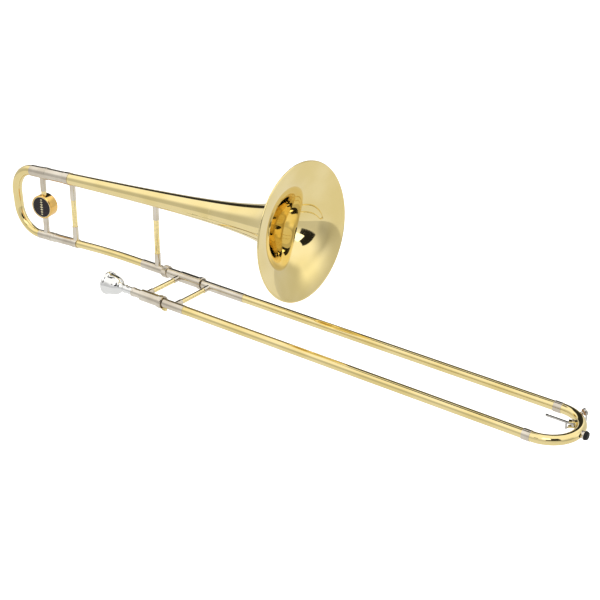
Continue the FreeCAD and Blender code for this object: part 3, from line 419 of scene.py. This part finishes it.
# ---------------- mesh tools

WELD = 0.002 * MM  # points of a CAD mesh this close are one
SMALL_TURN = math.radians(12)  # a corner that turns less than this stays as it is
CUT_SHARE = 0.4  # largest share of a run that one eased corner takes
LONG_RUN = 8  # a run longer than this many cuts is held flat near its corners
HOLD = 2.5  # how many cuts from the corner it is held
RUN_STEP = 12 * MM  # length between two rings of a tube's straight run
BEND_STEP = 2.5  # degrees between two rings of a tube's bend


def finish_mesh(obj, slot, body, nodes=()):
    """Give a piece its finish and its body, and hide the CAD nodes that it stands for."""
    obj.data.materials.append(materials[slot])
    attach(obj, body)
    if nodes:
        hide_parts(*nodes)
    slot if slot != "inlay" else "black_enamel"
    return obj


def body_of(node):
    return frame["nodes"][node]["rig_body"]


def stand_in(obj, node):
    """Let a piece take one CAD node's place, with the node's own finish and body."""
    return finish_mesh(obj, slots[node], body_of(node), [node])


def mesh_object(name, vertices, faces, sharp_angle=40.0):
    """Mesh with outward normals, smooth but for its sharp edges."""
    mesh = bpy.data.meshes.new(name)
    mesh.from_pydata(vertices, [], faces)
    bm = bmesh.new()
    bm.from_mesh(mesh)
    tidy_shading(bm, sharp_angle)
    bm.to_mesh(mesh)
    bm.free()
    obj = bpy.data.objects.new(name, mesh)
    bpy.context.scene.collection.objects.link(obj)
    return obj


def tidy_shading(bm, sharp_angle):
    bmesh.ops.recalc_face_normals(bm, faces=bm.faces)
    for face in bm.faces:
        face.smooth = True
    limit = math.radians(sharp_angle)
    for edge in bm.edges:
        edge.smooth = edge.calc_face_angle(math.pi) < limit


def across(axis):
    """Two directions square to an axis and to each other."""
    side = ALONG_Y.cross(axis) if abs(axis.y) < 0.9 else ALONG_Z.cross(axis)
    side.normalize()
    return side, axis.cross(side)


def ring_points(centre, side, other, reaches):
    """Points evenly round a centre, one for each radius of the list."""
    made = []
    for step, reach in enumerate(reaches):
        angle = 2 * math.pi * step / len(reaches)
        made.append(centre + side * (reach * math.cos(angle)) + other * (reach * math.sin(angle)))
    return made


def turned(name, base, axis, outline, closed=True, segments=96, ridges=None):
    """Turn an outline of (along, radius) points round an axis; ridges may vary the radius."""
    side, other = across(axis)
    vertices = []
    rings = []
    for along, radius in outline:
        centre = base + axis * along
        if radius < 1e-7:
            rings.append([len(vertices)] * segments)
            vertices.append(centre)
            continue
        rings.append(list(range(len(vertices), len(vertices) + segments)))
        reaches = [radius] * segments
        if ridges is not None:
            reaches = [ridges(radius, 2 * math.pi * step / segments) for step in range(segments)]
        vertices += ring_points(centre, side, other, reaches)
    faces = []
    pairs = list(zip(rings, rings[1:]))
    if closed:
        pairs.append((rings[-1], rings[0]))
    for first, second in pairs:
        for step in range(segments):
            after = (step + 1) % segments
            corners = [first[step], first[after], second[after], second[step]]
            unique = list(dict.fromkeys(corners))
            if len(unique) > 2:
                faces.append(unique)
    return mesh_object(name, vertices, faces)


def eased(outline, closed, radius):
    """Round the corners of an outline, and hold the long runs flat right up to them."""
    points = [Vector(point) for point in outline]
    count = len(points)
    made = []
    for place, point in enumerate(points):
        if not closed and place in (0, count - 1):
            made.append(point)
            continue
        before = points[place - 1] - point
        after = points[(place + 1) % count] - point
        turn = math.pi - before.angle(after)
        if turn < SMALL_TURN:
            made.append(point)
            continue
        cut = min(radius, before.length * CUT_SHARE, after.length * CUT_SHARE)
        start = point + before.normalized() * cut
        end = point + after.normalized() * cut
        if before.length > LONG_RUN * cut:
            made.append(point + before.normalized() * cut * HOLD)
        for step in range(4):
            share = step / 3
            made.append(start * (1 - share) ** 2 + point * (2 * share * (1 - share)) + end * share ** 2)
        if after.length > LONG_RUN * cut:
            made.append(point + after.normalized() * cut * HOLD)
    return [tuple(point) for point in made]


def outline_of(node, base, axis):
    """Outline of a turned CAD node, as (along, radius) points in order round its section."""
    mesh = frame["nodes"][node].data
    places = []
    which = []
    cells = {}
    for vertex in mesh.vertices:
        offset = vertex.co - base
        along = offset.dot(axis)
        place = Vector((along, (offset - axis * along).length))
        cell = (round(place.x / MERGE), round(place.y / MERGE))
        known = None
        for step in range(9):
            known = cells.get((cell[0] + step % 3 - 1, cell[1] + step // 3 - 1), known)
        if known is None:
            known = len(places)
            places.append(place)
            cells[cell] = known
        which.append(known)
    linked = {index: set() for index in range(len(places))}
    for edge in mesh.edges:
        first, second = (which[vertex] for vertex in edge.vertices)
        if first != second:
            linked[first].add(second)
            linked[second].add(first)
    if any(len(others) != 2 for others in linked.values()):
        raise ValueError(f"{node} isn't a plain turned ring")
    order = [0]
    while True:
        onward = [index for index in linked[order[-1]] if index not in order]
        if not onward:
            break
        order.append(onward[0])
    return [tuple(places[index]) for index in order]


def recut(node, base, axis, segments=96, ridges=None, radius=None):
    """Turn a CAD ring again, finely and with eased edges, in its own place."""
    outline = eased(outline_of(node, base, axis), True, radius or sizes().edge_radius)
    obj = turned(f"{node}_turned", base, axis, outline, True, segments, ridges)
    return stand_in(obj, node)


def bent(name, start, heading, binormal, steps, radii, wall, segments=64):
    """Tube along runs and bends in one plane, with its radius changing evenly along its length."""
    stations = [(start.copy(), heading.copy())]
    for kind, size, *turn in steps:
        place, direction = stations[-1]
        if kind == "run":
            count = max(1, round(size / RUN_STEP))
            for step in range(1, count + 1):
                stations.append((place + direction * (size * step / count), direction))
            continue
        side = binormal.cross(direction)
        centre = place + side * size
        count = max(4, round(turn[0] / BEND_STEP))
        for step in range(1, count + 1):
            rotation = Matrix.Rotation(math.radians(turn[0]) * step / count, 3, binormal)
            stations.append((centre + rotation @ (place - centre), rotation @ direction))
    lengths = [0.0]
    for (first, _), (second, _) in zip(stations, stations[1:]):
        lengths.append(lengths[-1] + (second - first).length)
    rings = []
    vertices = []
    for inset, order in ((0.0, range(len(stations))), (wall, reversed(range(len(stations))))):
        for place in order:
            centre, direction = stations[place]
            share = lengths[place] / lengths[-1]
            reach = radii[0] * (1 - share) + radii[1] * share - inset
            side = binormal.cross(direction)
            rings.append(len(vertices))
            vertices += ring_points(centre, side, binormal, [reach] * segments)
    faces = []
    for first, second in zip(rings, rings[1:] + rings[:1]):
        for step in range(segments):
            after = (step + 1) % segments
            faces.append([first + step, first + after, second + after, second + step])
    return mesh_object(name, vertices, faces)


def softened(node, width):
    """Copy of a small CAD piece with its hard edges rounded."""
    source = frame["nodes"][node].data
    bm = bmesh.new()
    bm.from_mesh(source)
    bmesh.ops.remove_doubles(bm, verts=bm.verts, dist=WELD)
    bmesh.ops.dissolve_limit(bm, angle_limit=math.radians(1.0), verts=bm.verts, edges=bm.edges)
    mesh = bpy.data.meshes.new(f"{node}_softened")
    bm.to_mesh(mesh)
    bm.free()
    obj = bpy.data.objects.new(mesh.name, mesh)
    bpy.context.scene.collection.objects.link(obj)
    bevel = obj.modifiers.new("Eased edges", "BEVEL")
    bevel.width = width
    bevel.segments = 3
    bevel.limit_method = "ANGLE"
    bevel.angle_limit = math.radians(38)
    bevel.use_clamp_overlap = True
    apply_modifiers(obj)
    bm = bmesh.new()
    bm.from_mesh(obj.data)
    bmesh.ops.triangulate(bm, faces=[face for face in bm.faces if len(face.verts) > 4])
    tidy_shading(bm, 32)
    bm.to_mesh(obj.data)
    bm.free()
    return stand_in(obj, node)


def apply_modifiers(obj):
    """Bake a piece's modifiers into its mesh."""
    graph = bpy.context.evaluated_depsgraph_get()
    graph.update()
    baked = bpy.data.meshes.new_from_object(obj.evaluated_get(graph))
    obj.modifiers.clear()
    obj.data = baked


# ---------------- bell

HORN_CROWDING = 2.4  # how much closer the rings lie near the mouth
RIM_ROOM = 0.15 * MM  # how far the sheet's edge stays inside the rim's bead
WIRE_RADIUS = 0.95 * MM
FINE = 192  # segments round the bell's mouth
SMOOTH = 128  # segments round the stem, the mouthpiece and the emblem


def horn_point(behind, inset):
    """Point of the bell's outline, (distance behind the mouth, radius), inset along its normal."""
    size = sizes()
    rim = width_of("bell_flare", 1) / 2
    full = rim - size.bead_radius - RIM_ROOM
    radius = full * ((size.sheet_start + size.horn_lead) / (behind + size.horn_lead)) ** size.horn_power
    slope = -size.horn_power * radius / (behind + size.horn_lead)
    share = inset / math.hypot(1, slope)
    return behind + slope * share, radius - share


def horn_line(first, last, count, inset):
    """Points of the bell's outline between two places, closer together near the mouth."""
    shares = [(step / count) ** HORN_CROWDING for step in range(count + 1)]
    return [horn_point(first + (last - first) * share, inset) for share in shares]


def behind_mouth(node):
    """Distances behind the mouth that a node of the bell section spans along the bell's axis."""
    reach = [(BELL_MOUTH - vertex.co).dot(BELL_AXIS) for vertex in frame["nodes"][node].data.vertices]
    return min(reach), max(reach)


class TROMBONE_OT_bell(bpy.types.Operator):
    """Flare with its rolled rim, and the stem behind it"""
    bl_idname = "trombone.bell"
    bl_label = "Bell"

    def execute(self, context):
        size = sizes()
        seam, end = behind_mouth("bell_stem")
        bead = Vector((size.bead_radius, width_of("bell_flare", 1) / 2 - size.bead_radius))
        sides = []
        for inset in (size.sheet_wall, 0.0):
            line = [Vector(point) for point in horn_line(size.sheet_start, seam, 60, inset)]
            sides.append([point for point in line if (point - bead).length > size.bead_radius * 1.02])
        inner, outer = sides
        begin = math.atan2(inner[0].y - bead.y, inner[0].x - bead.x) % (2 * math.pi)
        finish = math.atan2(outer[0].y - bead.y, outer[0].x - bead.x) % (2 * math.pi) - 2 * math.pi
        rim = []
        for step in range(1, 24):
            angle = begin + (finish - begin) * step / 24
            rim.append(bead + Vector((math.cos(angle), math.sin(angle))) * size.bead_radius)
        loop = [tuple(point) for point in [*reversed(inner), *rim, *outer]]
        flare = turned("bell_flare_spun", BELL_MOUTH, -BELL_AXIS, loop, segments=FINE)
        stand_in(flare, "bell_flare")
        inner = horn_line(seam, end, 40, size.sheet_wall)
        outer = horn_line(seam, end, 40, 0.0)
        loop = list(reversed(inner)) + outer
        stem = turned("bell_stem_drawn", BELL_MOUTH, -BELL_AXIS, loop, segments=SMOOTH)
        stand_in(stem, "bell_stem")
        loop = []
        for step in range(12):
            angle = 2 * math.pi * step / 12
            loop.append((bead.x + WIRE_RADIUS * math.cos(angle), bead.y + WIRE_RADIUS * math.sin(angle)))
        wire = turned("bell_rim_wire_round", BELL_MOUTH, -BELL_AXIS, loop, segments=FINE)
        stand_in(wire, "bell_rim_wire")
        return {"FINISHED"}


# ---------------- tubes

class TROMBONE_OT_slide_tubes(bpy.types.Operator):
    """Straight tubes, sleeves, barrels, corks and ferrules of both slides"""
    bl_idname = "trombone.slide_tubes"
    bl_label = "Slide tubes"

    def execute(self, context):
        rings = ("inner_tube", "stocking", "outer_tube", "grip_sleeve", "cork_barrel", "cork",
                 "bow_ferrule")
        for side, base in (("mouthpiece_side", MOUTHPIECE_SIDE), ("bell_side", BELL_SIDE)):
            for ring in rings:
                recut(f"{ring}_{side}", base, ALONG_X)
        recut("leadpipe", MOUTHPIECE_SIDE, ALONG_X, segments=48, radius=0.05 * MM)
        recut("mouthpiece_receiver", MOUTHPIECE_SIDE, ALONG_X)
        recut("bell_receiver", BELL_SIDE, ALONG_X)
        recut("neck_tenon", BELL_SIDE, ALONG_X)
        return {"FINISHED"}


class TROMBONE_OT_slide_bow(bpy.types.Operator):
    """Half circle of tube at the end of the hand slide, with its bumper"""
    bl_idname = "trombone.slide_bow"
    bl_label = "Slide bow"

    def execute(self, context):
        low, high = boxes["slide_bow"]
        radius = (high.z - low.z) / 2
        start = Vector((low.x, MOUTHPIECE_SIDE.y, 0))
        bow = bent("slide_bow_bent", start, ALONG_X, ALONG_Z, [("bend", BELL_SIDE.y, 180)],
                   (radius, radius), sizes().sheet_wall)
        stand_in(bow, "slide_bow")
        low, high = boxes["rubber_bumper"]
        wide = (high.y - low.y) / 2
        shoulder = low.x + 1.0 * MM
        neck = 3.2 * MM
        taper = 1.5 * MM
        outline = eased([(low.x, 0), (low.x, neck), (shoulder, neck), (shoulder, wide),
                         (high.x, wide - taper), (high.x, 0)], False, 1.1 * MM)
        rubber = turned("rubber_bumper_moulded", Vector(), ALONG_X, outline, closed=False, segments=64)
        stand_in(rubber, "rubber_bumper")
        softened("bumper_holder", 0.25 * MM)
        return {"FINISHED"}


class TROMBONE_OT_bell_tubes(bpy.types.Operator):
    """Tuning sleeves, neckpipe and lock nut of the bell section"""
    bl_idname = "trombone.bell_tubes"
    bl_label = "Sleeves and neckpipe"

    def execute(self, context):
        lower = leg_base("lower")
        recut("upper_tuning_sleeve", BELL_MOUTH, -BELL_AXIS)
        recut("lower_tuning_sleeve", lower, -BELL_AXIS)
        end = behind_mouth("bell_stem")[1]
        start = lower - BELL_AXIS * end
        radius = width_of("neckpipe", 1) / 2
        tangent = sizes().neck_tangent
        tilt = math.degrees(math.asin(BELL_AXIS.z))
        to_corner = -start.z / BELL_AXIS.z
        corner = start + BELL_AXIS * to_corner
        straight = boxes["neckpipe"][1].x - (corner.x + tangent)
        neck = bent("neckpipe_bent", start, BELL_AXIS, ALONG_Y, [
            ("run", to_corner - tangent),
            ("bend", tangent / math.tan(math.radians(tilt / 2)), tilt),
            ("run", straight)], (radius, radius), sizes().sheet_wall)
        stand_in(neck, "neckpipe")
        recut("bell_lock_nut", BELL_SIDE, ALONG_X, segments=sizes().knurl_count * 4, ridges=knurl)
        return {"FINISHED"}


def knurl(radius, angle):
    """Radius of the lock nut with its ridges."""
    rim = width_of("bell_lock_nut", 1) / 2
    if radius < rim - 0.1 * MM:
        return radius
    wave = 0.5 - 0.5 * math.cos(angle * sizes().knurl_count)
    return radius - sizes().knurl_depth * wave


def leg_base(leg):
    """Point where a tuning leg's axis meets the plane of the bell's mouth."""
    if leg == "upper":
        return BELL_MOUTH
    leg_node = middle_of("lower_inner_leg")
    drop = (BELL_MOUTH - leg_node).dot(BELL_UP)
    return BELL_MOUTH - BELL_UP * drop


class TROMBONE_OT_tuning_slide(bpy.types.Operator):
    """Crook, ferrules and inner legs of the tuning slide"""
    bl_idname = "trombone.tuning_slide"
    bl_label = "Tuning slide"

    def execute(self, context):
        for leg in ("upper", "lower"):
            recut(f"{leg}_inner_leg", leg_base(leg), -BELL_AXIS)
            recut(f"{leg}_crook_ferrule", leg_base(leg), -BELL_AXIS)
        nearest = behind_mouth("tuning_crook")[0]
        bend = sizes().crook_bend
        spacing = (leg_base("upper") - leg_base("lower")).length
        entry_share = 0.997
        upper_radius = width_of("tuning_crook", 1) / 2 * entry_share
        ends = behind_mouth("upper_crook_ferrule")[1]
        lower_radius = lower_crook_radius()
        crook = bent("tuning_crook_bent", BELL_MOUTH - BELL_AXIS * nearest, -BELL_AXIS, -ALONG_Y, [
            ("run", ends - nearest), ("bend", bend, 90), ("run", spacing - 2 * bend), ("bend", bend, 90),
            ("run", ends - nearest)], (upper_radius, lower_radius), sizes().sheet_wall)
        stand_in(crook, "tuning_crook")
        return {"FINISHED"}


def lower_crook_radius():
    """Radius of the crook where it enters the lower ferrule."""
    base = leg_base("lower")
    nearest = behind_mouth("tuning_crook")[0]
    reaches = []
    for vertex in frame["nodes"]["tuning_crook"].data.vertices:
        offset = vertex.co - base
        along = -offset.dot(BELL_AXIS)
        if along < nearest + 1e-5 and offset.dot(BELL_UP) < 20 * MM:
            reaches.append((offset + BELL_AXIS * along).length)
    return max(reaches)


# ---------------- braces

def socket_ends(node, base, axis):
    """The two free ends and the two tube ends of a pair of brace sockets, along their axis."""
    counts = {}
    for vertex in frame["nodes"][node].data.vertices:
        level = round((vertex.co - base).dot(axis), 5)
        counts[level] = counts.get(level, 0) + 1
    free = sorted(sorted(counts, key=counts.get)[-2:])
    return [(min(counts), free[0]), (free[1], max(counts))]


class TROMBONE_OT_braces(bpy.types.Operator):
    """Brace tubes and their sockets"""
    bl_idname = "trombone.braces"
    bl_label = "Braces"

    def execute(self, context):
        for brace, axis in (("hand_brace", ALONG_Y), ("slide_brace", ALONG_Y), ("sleeve_brace", ALONG_Z),
                            ("bell_brace", ALONG_Z), ("tuning_brace", ALONG_Z)):
            middle = middle_of(brace)
            base = middle - axis * middle.dot(axis)
            node = f"{brace}_sockets"
            inside = width_of(brace, 0) / 2
            outside = width_of(node, 0) / 2
            ends = socket_ends(node, base, axis)
            hidden = 2 * MM
            first = ends[0][1] - hidden
            last = ends[1][0] + hidden
            bore = inside - sizes().brace_wall
            tube = turned(f"{brace}_drawn", base, axis,
                          [(first, bore), (first, inside), (last, inside), (last, bore)], segments=64)
            stand_in(tube, brace)
            for number, (first, last) in enumerate(ends):
                ring = eased([(first, inside), (first, outside), (last, outside), (last, inside)],
                             True, 0.4 * MM)
                socket = turned(f"{node}_{number}", base, axis, ring, segments=64)
                stand_in(socket, node)
        return {"FINISHED"}


# ---------------- mouthpiece and lock

def bezier(points, count):
    """Points of a cubic curve between its two ends."""
    first, second, third, last = (Vector(point) for point in points)
    made = []
    for step in range(count + 1):
        share = step / count
        rest = 1 - share
        made.append(first * rest ** 3 + second * (3 * share * rest ** 2)
                    + third * (3 * share ** 2 * rest) + last * share ** 3)
    return [tuple(point) for point in made]


class TROMBONE_OT_mouthpiece(bpy.types.Operator):
    """Cup mouthpiece with its shank"""
    bl_idname = "trombone.mouthpiece"
    bl_label = "Mouthpiece"

    def execute(self, context):
        low, high = boxes["mouthpiece"]
        rim = low.x
        tip = high.x
        wide = width_of("mouthpiece", 1) / 2
        mouth = boxes["mouthpiece_receiver"][0].x
        cup = sizes().cup_radius / MM
        throat = sizes().throat_radius / MM

        def at(along, radius):
            """Outline point so many millimetres behind the rim's face, and from the axis."""
            return rim + along * MM, radius * MM

        def under(along, inset):
            """Outline point so many millimetres behind the rim's face, and inside its edge."""
            return rim + along * MM, wide - inset * MM

        outside = bezier([under(0, 2.6), under(0.3, 0.4), under(1.2, 0), under(2.6, 0)], 10)
        outside += bezier([under(3.6, 0), under(5.2, 0), under(5.6, 1.3), under(7.2, 1.9)], 8)
        outside += bezier([under(8.0, 2.1), under(17, 3.0), under(24.5, 4.2), at(28.5, 10.2)], 16)
        outside += bezier([at(28.9, 9.6), at(30.5, 7.4), at(33, 6.1), at(36, 6.1)], 10)
        outside += bezier([at(37, 6.2), at(39, 7.2), at(40.5, 7.2), at(42.5, 6.2)], 8)
        outside += [(mouth - 1 * MM, 6.15 * MM), (mouth, 6.1 * MM), (tip - 0.3 * MM, 5.6 * MM)]
        inside = [(tip, 5.35 * MM), (tip, 4.9 * MM), at(40, throat + 0.15), at(30, throat)]
        inside += bezier([at(25, throat + 0.3), at(21, 8.2), at(9, cup - 1.2), at(2.2, cup)], 22)
        inside += bezier([at(1.9, cup + 0.1), at(0.5, cup + 0.6), at(0, cup + 1.6), at(0, cup + 3.0)], 8)
        piece = turned("mouthpiece_turned", MOUTHPIECE_SIDE, ALONG_X, outside + inside, segments=SMOOTH)
        stand_in(piece, "mouthpiece")
        return {"FINISHED"}


class TROMBONE_OT_slide_lock(bpy.types.Operator):
    """Slide lock ring with its claw, and the lug that it catches"""
    bl_idname = "trombone.slide_lock"
    bl_label = "Slide lock"

    def execute(self, context):
        softened("slide_lock_ring", 0.3 * MM)
        softened("lock_lug", 0.45 * MM)
        return {"FINISHED"}


class TROMBONE_OT_water_key(bpy.types.Operator):
    """Water key of the bow: nipple, saddle, screw, spring, lever and cork"""
    bl_idname = "trombone.water_key"
    bl_label = "Water key"

    def execute(self, context):
        widths = {"saddle": 0.4, "screw": 0.2, "spring": 0.15, "nipple": 0.2,
                  "lever": 0.45, "cork": 0.25}
        for piece, width in widths.items():
            softened(f"water_key_{piece}", width * MM)
        return {"FINISHED"}


# ---------------- counterweight

class TROMBONE_OT_counterweight(bpy.types.Operator):
    """Counterweight with its set screw and enamel emblem"""
    bl_idname = "trombone.counterweight"
    bl_label = "Counterweight"

    def execute(self, context):
        softened("counterweight", 0.9 * MM)
        softened("counterweight_screw", 0.2 * MM)
        centre = middle_of("counterweight_emblem")
        axis = (middle_of("counterweight") - centre).normalized()
        low, high = boxes["counterweight_emblem"]
        wide = (high.z - low.z) / 2
        back = 0.6 * MM
        enamel_lift = 0.35 * MM
        border_lift = 0.6 * MM
        inner = wide - sizes().emblem_border
        enamel_face = eased([(back, 0), (back, inner), (-enamel_lift, inner), (-enamel_lift, 0)],
                            False, 0.2 * MM)
        plate = turned("counterweight_emblem_enamel", centre, axis, enamel_face, closed=False,
                       segments=SMOOTH)
        stand_in(plate, "counterweight_emblem")
        ring = eased([(back, inner), (-border_lift, inner), (-border_lift, wide), (back, wide)],
                     True, 0.25 * MM)
        rim = turned("counterweight_emblem_border", centre, axis, ring, segments=SMOOTH)
        finish_mesh(rim, "inlay", body_of("counterweight_emblem"))
        self.add_ornament(centre - axis * enamel_lift, axis, inner)
        return {"FINISHED"}

    def add_ornament(self, centre, axis, reach):
        """Upright row of small raised lozenges."""
        side = axis.cross(ALONG_Z).normalized()
        lift = -axis * 0.25 * MM
        sunk = axis * 0.2 * MM
        vertices = []
        faces = []
        count = 7
        for number in range(count):
            height = (number - (count - 1) / 2) * reach * 0.25
            scale = 1.0 - 0.1 * abs(number - (count - 1) / 2)
            half_wide = 3.6 * MM * scale
            half_high = 2.1 * MM * scale
            middle = centre + ALONG_Z * height
            first = len(vertices)
            corners = [ALONG_Z * half_high, side * half_wide, -ALONG_Z * half_high, -side * half_wide]
            vertices += [middle + corner for corner in corners]
            vertices += [middle + corner * 0.6 + lift for corner in corners]
            vertices += [middle + sunk + corner for corner in corners]
            faces.append([first + 4, first + 5, first + 6, first + 7])
            faces.append([first + 11, first + 10, first + 9, first + 8])
            for step in range(4):
                after = (step + 1) % 4
                faces.append([first + step, first + after, first + 4 + after, first + 4 + step])
                faces.append([first + 8 + step, first + 8 + after, first + after, first + step])
        ornament = mesh_object("counterweight_emblem_ornament", vertices, faces, sharp_angle=20)
        finish_mesh(ornament, "inlay", body_of("counterweight_emblem"))


# ---------------- stage

# Cards of the studio: name, bearing from +X, half width, lowest and highest elevation and softness
# in degrees, and tone.
STUDIO_CARDS = (
    ("left wall", -134, 20, -12, 22, 24, 0.62),
    ("right wall", 4, 20, -12, 6, 22, 0.46),
    ("right window", 36, 13, 0, 26, 26, 1.22),
    ("back wall", 66, 14, -12, 34, 24, 0.70),
    ("black curtain", 128, 28, 12, 50, 3, 0.03),
    ("ceiling gap", 160, 32, 60, 69, 2, 0.05),
    ("black frame", -43, 22, 12, 54, 2, 0.02),
    ("white softbox", -63, 14, 32, 60, 2, 2.2),
    ("low frame", -93, 6, 22, 31, 2, 0.05),
)

# Camera: place in metres, bearing, height and roll in degrees, and lens in millimetres.
CAMERA_PLACE = (1.3082, -1.3895, 0.9020)
CAMERA_BEARING = 36.659
CAMERA_HEIGHT = 26.009
CAMERA_ROLL = 0.528
CAMERA_LENS = 78.606


def world_card(tree, direction, bearing, half_width, low, high, softness):
    """Mask of one card of the studio: a sector round a bearing between two elevations."""
    level = tree.nodes.new("ShaderNodeVectorMath")
    level.operation = "MULTIPLY"
    level.inputs[1].default_value = (1, 1, 0)
    tree.links.new(direction, level.inputs[0])
    unit = tree.nodes.new("ShaderNodeVectorMath")
    unit.operation = "NORMALIZE"
    tree.links.new(level.outputs["Vector"], unit.inputs[0])
    dot = tree.nodes.new("ShaderNodeVectorMath")
    dot.operation = "DOT_PRODUCT"
    dot.inputs[1].default_value = (math.cos(math.radians(bearing)), math.sin(math.radians(bearing)), 0)
    tree.links.new(unit.outputs["Vector"], dot.inputs[0])
    inner, outer = (math.cos(math.radians(half_width + side)) for side in (-softness / 2, softness / 2))
    sector = add_range(tree, dot.outputs["Value"], outer, inner)
    split = tree.nodes.new("ShaderNodeSeparateXYZ")
    tree.links.new(direction, split.inputs[0])
    half = softness / 2
    angles = (low - half, low + half, high - half, high + half)
    heights = [math.sin(math.radians(angle)) for angle in angles]
    above = add_range(tree, split.outputs["Z"], heights[0], heights[1])
    below = add_range(tree, split.outputs["Z"], heights[2], heights[3], 1.0, 0.0)
    return add_math(tree, "MULTIPLY", sector, add_math(tree, "MULTIPLY", above, below))


class TROMBONE_OT_stage(bpy.types.Operator):
    """Pale floor, soft studio light and camera"""
    bl_idname = "trombone.stage"
    bl_label = "Stage"

    def execute(self, context):
        self.add_floor()
        self.add_world()
        self.add_softbox()
        self.add_camera()
        context.scene.view_settings.view_transform = "Standard"
        return {"FINISHED"}

    def add_floor(self):
        reach = 12.0
        height = -0.62
        corners = [(-reach, -reach, height), (reach, -reach, height),
                   (reach, reach, height), (-reach, reach, height)]
        floor = mesh_object("floor", corners, [[0, 1, 2, 3]])
        material, tree, shader, where = new_material("Pale floor")
        tone = add_noise(tree, where, 0.8, 2)
        shade = add_mix(tree, tone, (0.93, 0.93, 0.93, 1), (0.95, 0.95, 0.95, 1))
        tree.links.new(shade, shader.inputs["Base Color"])
        shader.inputs["Roughness"].default_value = 0.9
        shader.inputs["Emission Color"].default_value = (1, 1, 1, 1)
        shader.inputs["Emission Strength"].default_value = 0.45
        floor.data.materials.append(material)
        floor.visible_glossy = False

    def add_world(self):
        world = bpy.data.worlds.new("Studio")
        bpy.context.scene.world = world
        world.use_nodes = True
        tree = world.node_tree
        tree.nodes.clear()
        where = tree.nodes.new("ShaderNodeTexCoord")
        direction = where.outputs["Generated"]
        split = tree.nodes.new("ShaderNodeSeparateXYZ")
        tree.links.new(direction, split.inputs[0])
        low_sky = (0.66, 0.66, 0.66, 1)
        high_sky = (1.16, 1.15, 1.12, 1)
        ground_tone = (0.87, 0.87, 0.86, 1)
        backdrop = (1.0, 1.0, 1.0, 1)
        rise = add_range(tree, split.outputs["Z"], 0.05, 0.60)
        colour = add_mix(tree, rise, low_sky, high_sky)
        for _, *card, tone in STUDIO_CARDS:
            mask = world_card(tree, direction, *card)
            colour = add_mix(tree, mask, colour, (tone, tone, tone * 0.98, 1))
        ground = add_range(tree, split.outputs["Z"], -0.215, -0.205, 1.0, 0.0)
        colour = add_mix(tree, ground, colour, ground_tone)
        paths = tree.nodes.new("ShaderNodeLightPath")
        colour = add_mix(tree, paths.outputs["Is Camera Ray"], colour, backdrop)
        background = tree.nodes.new("ShaderNodeBackground")
        output = tree.nodes.new("ShaderNodeOutputWorld")
        tree.links.new(colour, background.inputs["Color"])
        tree.links.new(background.outputs["Background"], output.inputs["Surface"])

    def add_softbox(self):
        light = bpy.data.lights.new("Overhead softbox", "AREA")
        light.shape = "RECTANGLE"
        light.size = 2.4
        light.size_y = 1.6
        light.energy = 24.0
        softbox = bpy.data.objects.new("Overhead softbox", light)
        softbox.location = (0.2, -0.6, 2.4)
        softbox.rotation_euler = (math.radians(14), 0, 0)
        softbox.visible_glossy = False
        bpy.context.scene.collection.objects.link(softbox)

    def add_camera(self):
        azimuth = math.radians(CAMERA_BEARING)
        height = math.radians(CAMERA_HEIGHT)
        roll = math.radians(CAMERA_ROLL)
        back = Vector((math.sin(azimuth), -math.cos(azimuth), 0)) * math.cos(height)
        back.z = math.sin(height)
        right = Vector((math.cos(azimuth), math.sin(azimuth), 0))
        up = back.cross(right)
        level_right = right * math.cos(roll) + up * math.sin(roll)
        level_up = up * math.cos(roll) - right * math.sin(roll)
        matrix = Matrix((level_right, level_up, back)).transposed().to_4x4()
        matrix.translation = Vector(CAMERA_PLACE)
        data = bpy.data.cameras.new("Camera")
        data.lens = CAMERA_LENS
        data.clip_start = 0.05
        data.clip_end = 60
        camera = bpy.data.objects.new("Camera", data)
        camera.matrix_world = matrix
        bpy.context.scene.collection.objects.link(camera)
        bpy.context.scene.camera = camera


# ---------------- panel and run

OPERATORS = (TROMBONE_OT_stage, TROMBONE_OT_bell, TROMBONE_OT_bell_tubes, TROMBONE_OT_tuning_slide,
             TROMBONE_OT_slide_tubes, TROMBONE_OT_slide_bow, TROMBONE_OT_braces, TROMBONE_OT_mouthpiece,
             TROMBONE_OT_slide_lock, TROMBONE_OT_water_key, TROMBONE_OT_counterweight)


class TROMBONE_PT_panel(bpy.types.Panel):
    """Buttons for the pieces of the trombone"""
    bl_idname = "TROMBONE_PT_panel"
    bl_label = "Trombone"
    bl_space_type = "VIEW_3D"
    bl_region_type = "UI"
    bl_category = "Trombone"

    def draw(self, context):
        for operator in OPERATORS:
            self.layout.operator(operator.bl_idname)


CLASSES = (TromboneSizes, TromboneColours, *OPERATORS, TROMBONE_PT_panel)


def register():
    for item in CLASSES:
        bpy.utils.register_class(item)
    bpy.types.Scene.trombone_sizes = bpy.props.PointerProperty(type=TromboneSizes)
    bpy.types.Scene.trombone_colours = bpy.props.PointerProperty(type=TromboneColours)


def unregister():
    del bpy.types.Scene.trombone_sizes
    del bpy.types.Scene.trombone_colours
    for item in reversed(CLASSES):
        bpy.utils.unregister_class(item)


def main():
    register()
    materials.update(make_materials())
    for node in frame["nodes"].values():
        node.data.materials.clear()
        node.data.materials.append(materials[slots[node.name]])
    for operator in OPERATORS:
        group, name = operator.bl_idname.split(".")
        getattr(getattr(bpy.ops, group), name)()


if __name__ == "__main__":
    main()
